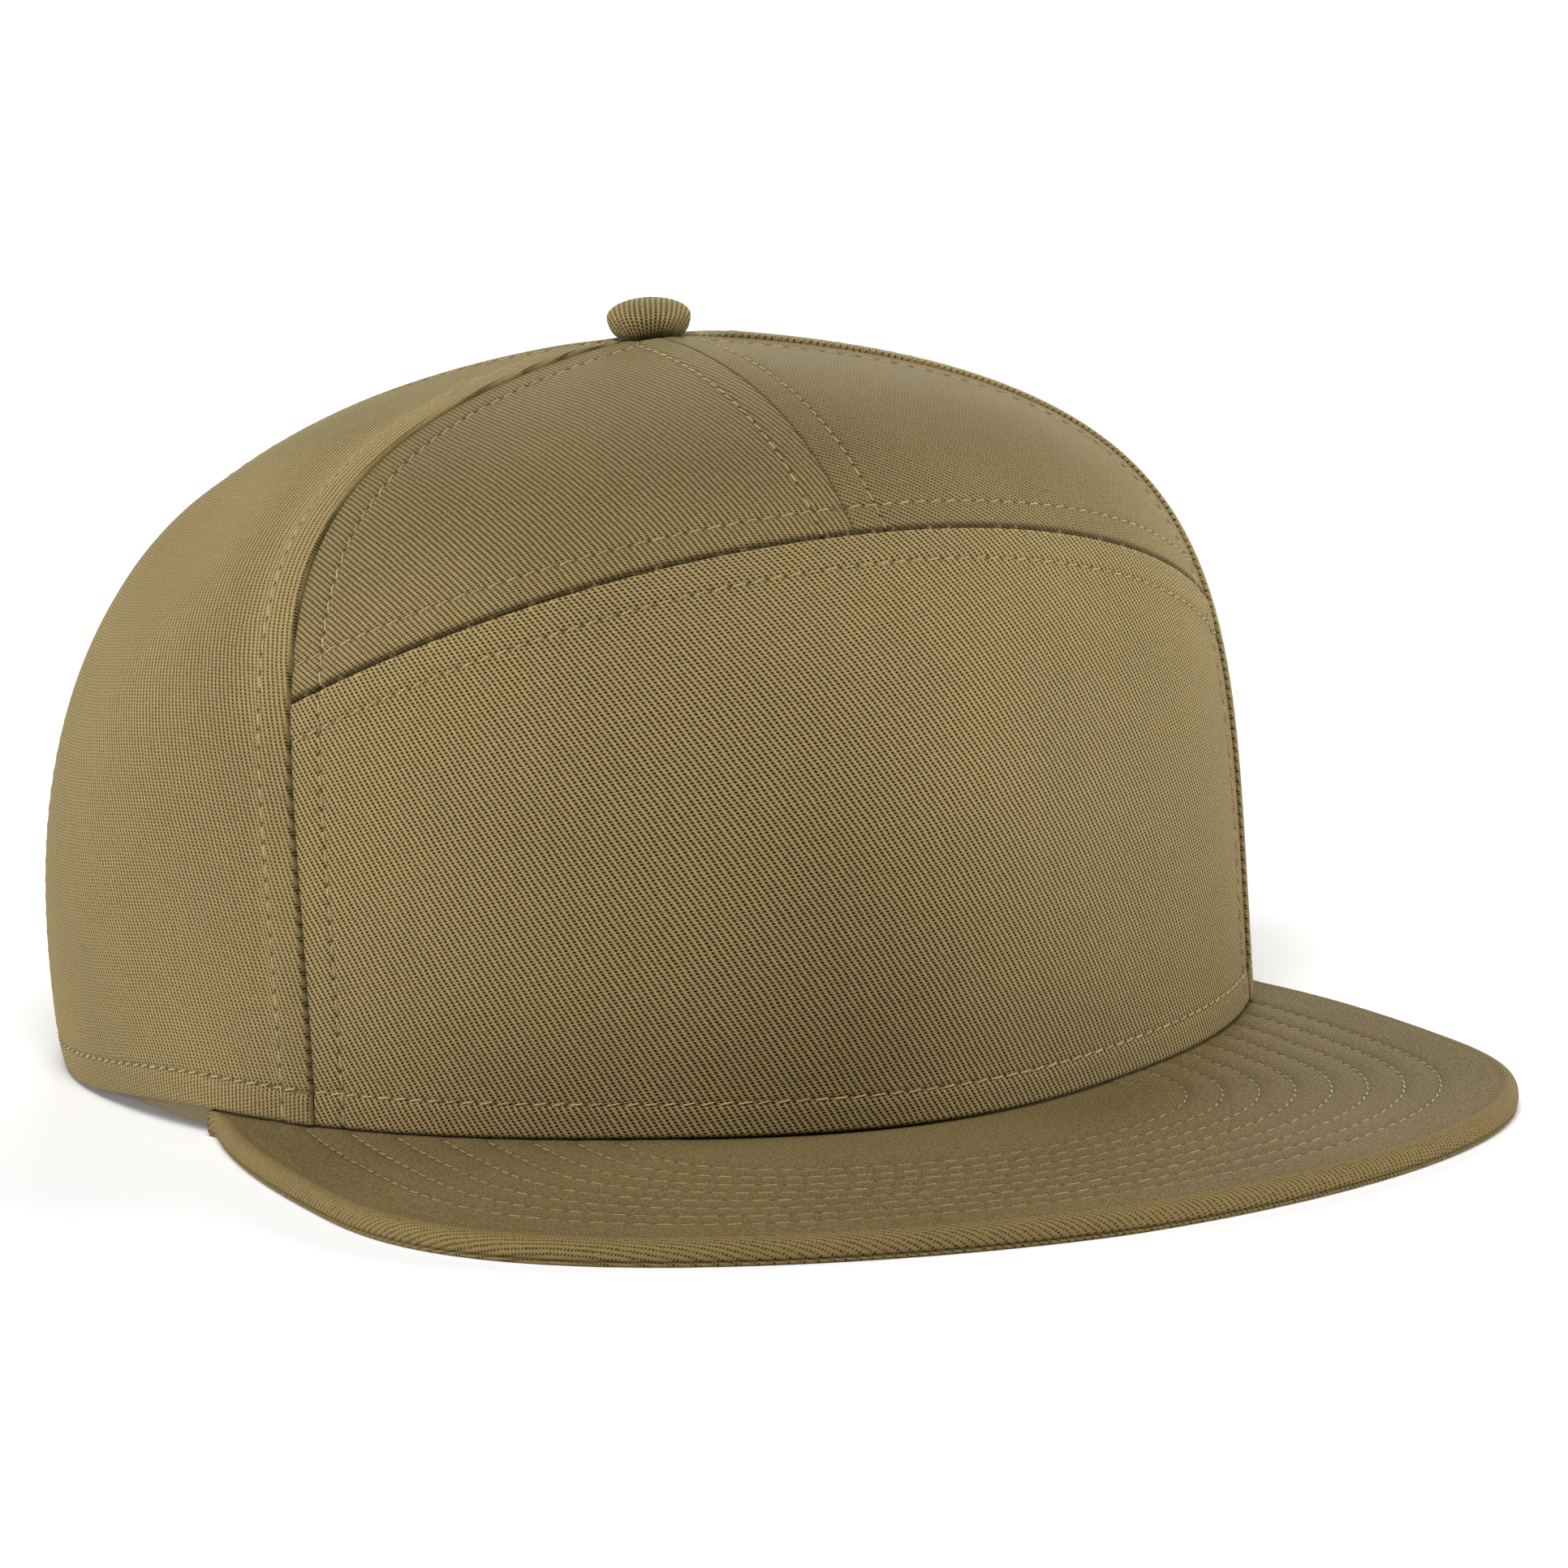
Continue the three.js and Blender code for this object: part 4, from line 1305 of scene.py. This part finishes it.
@dataclass
class Bill:
    """The flat bill: a board between two cloths, with a rolled edge and eight rows of stitches.

    Seen from above its outline is |x / half_width|^side_bend + |y / half|^front_bend = 1 about its widest
    line, with one half ahead of it and a longer one behind. Columns are rays from the crown's axis at equal
    lengths of outline. Each row of stitches is the outline inset by first + step k at the side and ahead.
    top_round and low_round are how far in from the outline the cloth starts to roll over the edge, where
    the two cloths meet in a sunken seam.
    """

    half_width: float = 94.0
    widest: float = -83.7
    ahead: float = 79.3
    behind: float = 141.5
    side_bend: float = 1.73
    front_bend: float = 2.58
    thickness: float = 4.1
    top_round: float = 2.2
    low_round: float = 1.3
    seam_height: float = 0.85
    seam_width: float = 0.2
    seam_depth: float = 0.45
    row_depth: float = 0.16
    top_ribs: float = 0.35
    edge_lot: float = 0.34
    end_angle: float = 76.0
    columns: int = 361
    top_rows: int = 82
    edge_rows: int = 25
    under_rows: int = 10
    row_count: int = 8
    first: tuple[float, float] = (11.7, 10.0)
    step: tuple[float, float] = (5.5, 4.7)
    sewing: Sewing = field(default_factory=lambda: Sewing(3.45, 2.8, 0.14, 0.01, 0.24, 0.12))

    def reach(self, angle: Array, side_inset: float = 0.0, ahead_inset: float = 0.0) -> Array:
        """Returns how far the outline lies from the crown's axis in each direction, by halving."""
        x, y = np.abs(np.sin(np.radians(angle))), -np.cos(np.radians(angle))

        def outside(radius: Array) -> Array:
            """Says where a radius passes the outline."""
            along = y * radius - self.widest
            half = np.where(along < 0, self.ahead - ahead_inset, self.behind - ahead_inset)
            sideways = (x * radius / (self.half_width - side_inset)) ** self.side_bend
            return sideways + np.abs(along / half) ** self.front_bend > 1

        return halve(outside, angle.shape, 60.0, 200.0, 32)

    def rays(self) -> tuple[Array, Array, Array]:
        """Returns the columns' directions, inner radii and outer radii."""
        fine = np.linspace(-self.end_angle, self.end_angle, 2401)
        lengths = arc_lengths(polar(fine, self.reach(fine), 0.0))
        angle = np.interp(np.linspace(0, lengths[-1], self.columns), lengths, fine)
        inner = CROWN.profile(angle, 0.0)[0] - CROWN.wall
        return angle, inner, np.maximum(self.reach(angle), inner + CROWN.wall + 0.3)

    def stitch_lines(self) -> list[Array]:
        """Returns the rows of stitches as lines on the bill's top, cut where they meet the crown."""
        angle = np.linspace(-self.end_angle, self.end_angle, 1201)
        clear = CROWN.profile(angle, 0.0)[0] + 0.6
        lines = []
        for k in range(self.row_count):
            radius = self.reach(angle, self.first[0] + self.step[0] * k, self.first[1] + self.step[1] * k)
            line = polar(angle, radius, self.thickness)[radius > clear]
            lines.append(along_line(arc_lengths(line), line, np.linspace(0, arc_lengths(line)[-1], 220)))
        return lines

    def sewn_top(self, angle: Array, inner: Array, outer: Array,
                 lines: list[Array]) -> tuple[Array, Array, Array]:
        """Makes the top, which puffs up between its rows of stitches.

        Args:
            angle: the columns' directions.
            inner: the radius that each starts at.
            outer: the radius that each reaches.
            lines: the rows of stitches.

        Returns:
            Its points, their distance from the nearest row and the count of stitches along that.
        """
        share = np.linspace(0, 1, self.top_rows)[:, None]
        top = polar(angle, inner + (outer - inner) * share, self.thickness)
        near, count = nearest_row(top, lines, self.sewing.period)
        puff = 0.1 * (1 - np.exp(-((near / 1.6) ** 2))) * (near < 8.5)
        top[..., 2] += puff - self.row_depth * np.exp(-((near / 0.7) ** 2))
        return top, near, count

    def rolled_edge(self, angle: Array, width: Array, outer: Array,
                    rounds: tuple[Array, Array]) -> tuple[Array, Array]:
        """Makes the edge from the top's rim over and down to the underside's.

        Args:
            angle: the columns' directions.
            width: how far the bill reaches from the crown's inside in each.
            outer: the outline's radius in each.
            rounds: how far in the roll starts on top and underneath.

        Returns:
            Its points, and how much each of its rows belongs to the seam.
        """
        turn = np.radians(np.linspace(90, -90, self.edge_rows))[1:, None]
        out = outer - np.where(turn > 0, *rounds) * (1 - np.maximum(np.cos(turn), 0) ** 0.75)
        half = self.thickness / 2
        height = half + half * squared(np.sin(turn), 0.85)
        seam = np.exp(-(((height - self.seam_height) / self.seam_width) ** 2))
        return polar(angle, out - self.seam_depth * seam * smoothstep(width, 3, 12), height), seam

    def build(self, cloth: bpy.types.Material, thread: bpy.types.Material) -> None:
        """Makes the bill and its stitches."""
        angle, inner, outer = self.rays()
        width = outer - inner
        rounds = np.minimum(self.top_round, width * 0.4), np.minimum(self.low_round, width * 0.4)
        lines = self.stitch_lines()
        top, near, count = self.sewn_top(angle, inner, outer - rounds[0], lines)
        edge, seam = self.rolled_edge(angle, width, outer, rounds)
        back = np.linspace(1, 0, self.under_rows)[1:, None]
        under = polar(angle, inner + (outer - rounds[1] - inner) * back, 0.0)
        points = np.concatenate([top, edge, under])
        rows, columns = points.shape[:2]
        ids = np.arange(rows * columns).reshape(rows, columns)
        close = np.stack([ids[-1, :-1], ids[0, :-1], ids[0, 1:], ids[-1, 1:]], axis=1)[:, ::-1]
        faces = [grid_quads(rows, columns, flip=True), close, np.stack([ids[:, 0], ids[::-1, -1]])]
        on_top, on_edge = slice(self.top_rows), slice(self.top_rows, self.top_rows + len(edge))
        down = np.zeros((rows, 1, 1))
        down[on_edge, 0, 0] = arc_lengths(edge[:, columns // 2]) + 0.1
        weave = points + polar(angle, np.ones(columns), 0.0) * down
        weave[..., 2] = self.top_ribs
        weave[self.top_rows - 2: self.top_rows + len(edge), :, 2] = 1.0
        sewing = np.tile([FAR, 0.0, 0.0], (rows, columns, 1))
        sewing[on_top, :, 0], sewing[on_top, :, 1] = near, count
        sewing[on_edge, :, 2] = self.edge_lot
        root, _ = nearest_on_line(top, polar(angle, inner + CROWN.wall, self.thickness))
        tone = np.zeros((rows, columns))
        # Painted shadow on the top where the crown sits on it.
        tone[on_top] = -0.3 * np.exp(-((root / 0.8) ** 2))
        # Painted shade in the sunken seam of the rolled edge.
        tone[on_edge] = 0.25 - 0.95 * seam
        attributes = {"weave": weave.reshape(-1, 3), "sewing": sewing.reshape(-1, 3), "tone": tone.ravel()}
        make_piece("bill_cloth_and_board", points.reshape(-1, 3), faces, cloth, attributes, "bill")
        up = np.array([0.0, 0.0, 1.0])
        sunk = [line - self.row_depth * up for line in lines]
        sewn = [(arc_lengths(line), line, np.broadcast_to(up, line.shape)) for line in sunk]
        self.sewing.build("bill_stitches", sewn, thread, Slot.BILL)


@dataclass
class Button:
    """The cloth-covered button and its stem, a profile turned about the crown's axis.

    From the waist up the dome is radius cos(a) wide and (height - waist) sin(a) high. Below it the cloth
    turns in, gathered in small folds, and hangs as far as the crown falls away from under it. Its weave
    lies flat over the dome: the arc length from the pole in each direction.
    """

    radius: float = 6.6
    height: float = 5.4
    waist: float = 2.5
    underside: float = 46.0
    stem_radius: float = 2.0
    stem_length: float = 4.0
    base: float = 113.9
    clear: float = 0.15
    folds: int = 18
    fold_depth: float = 0.05
    sides: int = 144
    rows: int = 46
    rib_turn: float = -53.1

    def profile(self) -> tuple[Array, Array]:
        """Returns the radii and heights from just beside the pole down to the stem's end."""
        a = np.radians(np.linspace(90, -self.underside, self.rows))
        low = self.waist * np.sin(a) / math.sin(math.radians(self.underside))
        height = self.waist + np.where(a < 0, low, (self.height - self.waist) * np.sin(a))
        radius = self.radius * np.maximum(np.cos(a), 0) ** np.where(a > 0, 1.0, 0.75)
        radius = np.concatenate([radius[1:], [self.stem_radius, self.stem_radius]])
        return radius, self.base + np.concatenate([height[1:], [0.0, -self.stem_length]])

    def build(self, cloth: bpy.types.Material) -> None:
        """Makes the button."""
        radius, height = self.profile()
        rows, under = len(radius), self.base - height
        turn = np.linspace(0, 360, self.sides, endpoint=False)
        side = np.where(turn > 180, 360 - turn, turn)
        lip = CROWN.t_at_radius(side, radius[-3])
        fall = np.maximum(self.base - self.clear - CROWN.profile(side, lip)[1], 0)
        hang = smoothstep(under, -self.waist, 0.0) * (np.arange(rows) < rows - 2)
        gather = self.fold_depth * smoothstep(under, -2.2, -0.4) * (radius > 3)
        wide = radius[:, None] + gather[:, None] * np.cos(np.radians(turn) * self.folds)
        ring = polar(turn, wide, height[:, None] - fall * hang[:, None])
        top = self.base + self.height
        poles = [[0.0, 0.0, top], [0.0, 0.0, self.base - self.stem_length]]
        points = np.concatenate([ring.reshape(-1, 3), poles])
        ids = np.arange(rows * self.sides).reshape(rows, self.sides)
        after = np.roll(ids, -1, axis=1)
        pole = np.full(self.sides, rows * self.sides)
        cap = np.stack([ids[0], after[0], pole], axis=1)[:, ::-1]
        tip = np.stack([ids[-1], after[-1], pole + 1], axis=1)
        length = arc_lengths(np.stack([np.append(0, radius), np.append(top, height)], axis=1))[1:]
        plan = polar(turn, length[:, None], 0.0)
        u, v = turned(plan[..., 0], plan[..., 1], self.rib_turn)
        weave = np.stack([u, v, np.ones(u.shape)], axis=-1).reshape(-1, 3)
        # Painted shade darkens the cloth turned in under the waist, where the button meets the crown.
        tone = np.repeat(0.1 - 1.1 * smoothstep(under, -1.4, 0.0), self.sides)
        attributes = {"weave": np.concatenate([weave, [[0, 0, 1], [0, 0, 1]]]),
                      "sewing": np.tile([FAR, 0.5, 0.0], (len(points), 1)),
                      "tone": np.append(tone, [0.1, -1.0])}
        faces = [tube_quads(ids), cap, tip]
        make_piece("button_cover", points, faces, cloth, attributes, "button")


@dataclass
class Liner:
    """What lies inside the rim, a gap away from the crown's wall: the band and the strap."""

    gap: float = 0.8

    def point(self, angle: Array, height: Array, depth: Array | float) -> Array:
        """Returns points a depth inside the wall's inner face, straight down below the crown's foot."""
        folded = np.where(np.abs(angle) > 180, 360 - np.abs(angle), angle)
        t = CROWN.t_at_height(folded, np.maximum(height, CROWN.foot(folded)))
        radius = CROWN.profile(folded, t)[0] - CROWN.wall - self.gap - depth
        return polar(angle, radius, height)

    def carry(self, angle: Array, height: Array, depth: Array) -> tuple[Array, list[Array]]:
        """Carries a closed section round the rim.

        Args:
            angle: the directions that it passes.
            height: the heights round the section, as a column.
            depth: the depths round the section, as a column.

        Returns:
            Points, shape (section, directions, 3), and the quads and the two ends.
        """
        whole = np.ones((len(height), len(angle)))
        ids = np.arange(whole.size).reshape(whole.shape)
        ends = np.stack([ids[:, 0], ids[::-1, -1]])
        return self.point(angle * whole, height * whole, depth * whole), [tube_quads(ids.T), ends]


@dataclass
class Sweatband(Liner):
    """The soft band inside the rim: a closed section carried round, rounded at both edges.

    levels are the heights of its two rows of stitches, and girth is the mean radius that its weave is
    measured on.
    """

    wall: float = 1.2
    bottom: float = 0.8
    top: float = 30.0
    end_angle: float = 148.0
    girth: float = 90.0
    levels: tuple[float, float] = (4.5, 26.0)
    columns: int = 361
    loop: int = 72
    sewing: Sewing = field(default_factory=Sewing)

    def build(self, cloth: bpy.types.Material, thread: bpy.types.Material) -> None:
        """Makes the band and its two rows of stitches."""
        turn = np.linspace(0, math.tau, self.loop, endpoint=False)[:, None]
        middle, half = (self.top + self.bottom) / 2, (self.top - self.bottom) / 2
        height = middle + half * squared(np.sin(turn), 0.9)
        depth = self.wall / 2 * (1 - squared(np.cos(turn), 0.22))
        angle = np.linspace(-self.end_angle, self.end_angle, self.columns)
        points, faces = self.carry(angle, height, depth)
        whole = np.ones(points.shape[:2])
        weave = np.stack([self.girth * np.radians(angle) * whole, height * whole, whole], axis=-1)
        make_piece("sweatband_cotton", points.reshape(-1, 3), faces, cloth,
                   {"weave": weave.reshape(-1, 3)}, "sweatband")
        around = np.linspace(-self.end_angle + 1, self.end_angle - 1, 500)
        rows = []
        for level in self.levels:
            line = self.point(around, np.full(around.shape, level), self.wall)
            rows.append((arc_lengths(line), line, -polar(around, np.ones(around.shape), 0.0)))
        self.sewing.build("sweatband_stitches", rows, thread, Slot.BAND)


@dataclass
class SnapStrap(Liner):
    """The closed plastic strap across the back opening, with a row of domed pegs.

    Its section is a rounded slab with a raised bead along both edges, carried round the back. Between the
    beads, which are bead wide, its face lies lower by the share sunk of half the wall.
    """

    wall: float = 2.2
    bottom: float = 1.0
    height: float = 20.0
    end_angle: float = 151.0
    bead: float = 1.6
    sunk: float = 0.22
    pegs: int = 7
    pitch: float = 9.5
    peg_radius: float = 2.6
    peg_height: float = 1.5
    peg_sides: int = 32
    columns: int = 121
    loop: int = 64

    def peg(self, offset: float) -> Array:
        """Returns a peg's points ring by ring, at a length round the back from its middle."""
        a = np.radians(np.linspace(0, 84, 9))
        dome = 0.72 + 0.25 * np.cos(a)
        dome[-3:] = 0.66, 0.45, 0.12
        width = self.peg_radius * np.concatenate([[1, 0.97], dome])
        rise = self.peg_height * np.concatenate([[0, 0.35], 0.4 + 0.6 * np.sin(a)])
        rise[0] = -self.wall / 2
        radius = CROWN.profile(np.array(180.0), 0.0)[0] - CROWN.wall - self.gap
        local = polar(np.linspace(0, 360, self.peg_sides, endpoint=False), width[:, None], 0.0)
        out = radius + rise[:, None] * np.ones(self.peg_sides) - 0.35
        x, y = turned(local[..., 0], out, math.degrees(offset / radius))
        return np.stack([x, y, self.bottom + self.height / 2 + local[..., 1]], axis=-1)

    def build(self, plastic: bpy.types.Material) -> None:
        """Makes the strap and its pegs as one piece."""
        turn = np.linspace(0, math.tau, self.loop, endpoint=False)[:, None]
        half = self.height / 2
        level = half * squared(np.sin(turn), 0.8)
        square = squared(np.cos(turn), 0.3)
        within = half - self.bead - np.abs(level)
        face = 1 - self.sunk * (1 - np.exp(-((within / 0.9) ** 2))) * (within > 0)
        depth = self.wall / 2 * (1 - square * np.where(square > 0, face, 1))
        angle = np.linspace(self.end_angle, 360 - self.end_angle, self.columns)
        band, (sides, ends) = self.carry(angle, self.bottom + half + level, depth)
        blocks, quads, caps = [band.reshape(-1, 3)], [sides], []
        first = len(blocks[0])
        for k in range(self.pegs):
            peg = self.peg((k - (self.pegs - 1) / 2) * self.pitch)
            ids = first + np.arange(peg.shape[0] * peg.shape[1]).reshape(peg.shape[:2])
            blocks.append(peg.reshape(-1, 3))
            quads.append(tube_quads(ids))
            caps += [ids[-1][::-1], ids[0]]
            first += ids.size
        faces = [np.concatenate(quads), ends, np.stack(caps)]
        points = np.concatenate(blocks)
        make_piece("snap_strap_and_pegs", points, faces, plastic, {}, "snap_strap")


@dataclass
class Studio:
    """The camera, and soft rectangular lights round the cap, each with its name, direction, size and power.

    Three stand low at the sides and behind, and one hangs high in front. reach is how far they stand away.
    """

    aim: tuple[float, float, float] = (0.016497, 0.023862, 0.040952)
    azimuth: float = -23.105
    elevation: float = 10.289
    roll: float = 2.545
    distance: float = 1.5102
    lens: float = 219.2
    room: float = 0.0
    reach: float = 3.0
    lamps: tuple[tuple[str, float, float, tuple[float, float], float], ...] = (
        ("wide_light_right_side", -113.0, 10.0, (2.8, 1.3), 103.0),
        ("light_left_side", 75.0, 13.0, (1.3, 1.3), 81.0),
        ("light_behind", 150.0, 18.0, (1.3, 1.3), 52.0),
        ("light_in_front", -26.0, 54.0, (1.6, 1.3), 102.0),
    )

    def camera(self) -> None:
        """Stands the camera where the photograph was taken from."""
        a, e, r = (math.radians(value) for value in (self.azimuth, self.elevation, self.roll))
        back = Vector((math.sin(a) * math.cos(e), -math.cos(a) * math.cos(e), math.sin(e)))
        right = Vector((math.cos(a), math.sin(a), 0.0))
        up = back.cross(right)
        side, top = right * math.cos(r) - up * math.sin(r), right * math.sin(r) + up * math.cos(r)
        data = bpy.data.cameras.new("camera")
        data.lens, data.sensor_width = self.lens, 36.0
        data.clip_start, data.clip_end = 0.05, 60.0
        camera = bpy.data.objects.new("camera", data)
        bpy.context.scene.collection.objects.link(camera)
        turn = Matrix((side, top, back)).transposed().to_4x4()
        camera.matrix_world = Matrix.Translation(Vector(self.aim) + back * self.distance) @ turn
        bpy.context.scene.camera = camera

    def lamp(self, name: str, place: tuple[float, float, float], size: tuple[float, float],
             power: float) -> None:
        """Hangs one soft rectangular light that faces the cap."""
        data = bpy.data.lights.new(name, "AREA")
        data.shape, data.size, data.size_y, data.energy = "RECTANGLE", *size, power
        lamp = bpy.data.objects.new(name, data)
        bpy.context.scene.collection.objects.link(lamp)
        towards = Vector((0.0, 0.0, 0.05)) - Vector(place)
        lamp.matrix_world = Matrix.Translation(place) @ towards.to_track_quat("-Z", "Y").to_matrix().to_4x4()

    def build(self) -> None:
        """Sets up the studio."""
        self.camera()
        Floor().build()
        for name, azimuth, elevation, size, power in self.lamps:
            a, e = math.radians(azimuth), math.radians(elevation)
            flat = self.reach * math.cos(e)
            self.lamp(name, (flat * math.sin(a), -flat * math.cos(a), self.reach * math.sin(e)), size, power)
        world = bpy.data.worlds.new("room")
        world.use_nodes = True
        shade = world.node_tree.nodes["Background"]
        shade.inputs["Color"].default_value = (1, 1, 1, 1)
        shade.inputs["Strength"].default_value = self.room
        bpy.context.scene.world = world
        bpy.context.scene.view_settings.view_transform = "Standard"


# dark sets the painted shade in each seam's groove.
TUCKED = SeamEdge(crest=0.12, turn=0.6, drop=1.0, row=5.7, dark=1.2, width=0.38)
ROLLED = SeamEdge(crest=0.7, turn=0.5, drop=0.65, row=5.7, dark=0.4, width=0.16)
ARCH_UNDER = SeamEdge(crest=0.3, turn=0.4, drop=0.6, row=5.6, dark=0.1, ticks=1.1)
ARCH_OVER = SeamEdge(crest=0.1, turn=1.4, drop=1.3, row=5.4, dark=1.5, width=0.95, ticks=0.35)
FINE = SeamEdge(crest=0.12, turn=0.35, drop=0.3, row=5.2, dark=0.3)
PLAIN_SEAM = SeamEdge(crest=0.2, turn=0.5, drop=0.6, row=5.7, dark=0.5)
HEM = SeamEdge(crest=0.22, turn=0.8, drop=0.9, row=5.35, dark=0.2)
AT_BUTTON = SeamEdge(crest=0.0, turn=0.5, drop=0.3, row=0.0, dark=0.3)


@dataclass
class Crown:
    """The seven panels and the button that covers their meeting."""

    def panels(self) -> list[ClothPanel]:
        """Returns the panels with the seams along their edges."""
        low, high, foot, head = Edge.LOW_SIDE, Edge.HIGH_SIDE, Edge.FOOT, Edge.HEAD
        front = {low: TUCKED, high: TUCKED, foot: HEM, head: ARCH_UNDER}
        made: list[ClothPanel] = [FrontPanel("front_panel", lot=0.03, depth=1.2, edges=front)]
        for word, side in (("left", 1), ("right", -1)):
            first, last = (low, high) if side > 0 else (high, low)
            upper = {first: FINE, last: TUCKED, foot: ARCH_OVER, head: AT_BUTTON}
            flank = {first: ROLLED, last: PLAIN_SEAM, foot: HEM, head: AT_BUTTON}
            rear = {first: PLAIN_SEAM, last: PLAIN_SEAM, foot: HEM, head: AT_BUTTON}
            made += [
                UpperFrontPanel(f"upper_front_panel_{word}", side, grain=21.0 * side, lot=-0.135,
                                depth=0.7 if side > 0 else 1.0, edges=upper),
                SidePanel(f"side_panel_{word}", side, middle=91.0 * side, seed=SEED + side, grain=-6.0,
                          hem_turn=-26.0, depth=0.8, edges=flank),
                BackPanel(f"back_panel_{word}", side, middle=150.0 * side, seed=SEED + 2 * side, grain=-6.0,
                          edges=rear),
            ]
        return made

    def build(self, cloth: bpy.types.Material, thread: bpy.types.Material) -> None:
        """Makes the crown."""
        for panel in self.panels():
            panel.build(cloth, thread)
        Button().build(cloth)


def main() -> None:
    """Builds the cap and its studio."""
    logging.basicConfig(level=logging.INFO, format="%(name)s %(message)s")
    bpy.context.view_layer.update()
    Studio().build()
    cloth = Twill("crown_twill", light=(0.307, 0.221, 0.093), dark=(0.014, 0.01, 0.0035)).material()
    bill_cloth = Twill("bill_twill", light=(0.187, 0.131, 0.0495), dark=(0.035, 0.0245, 0.0085),
                       rib_angle=45.0, pick_angle=22.0, relief=0.14, sheen=0.06, hole_shade=0.25,
                       row_shade=0.1, nap=2.1, nap_scale=2200.0).material()
    thread = Thread().material()
    Crown().build(cloth, thread)
    dull = Thread("bill_thread", light=(0.345, 0.258, 0.102), dark=(0.12, 0.085, 0.03)).material()
    Bill().build(bill_cloth, dull)
    Sweatband().build(BandCloth().material(), thread)
    SnapStrap().build(Plastic().material())


if __name__ == "__main__":
    main()
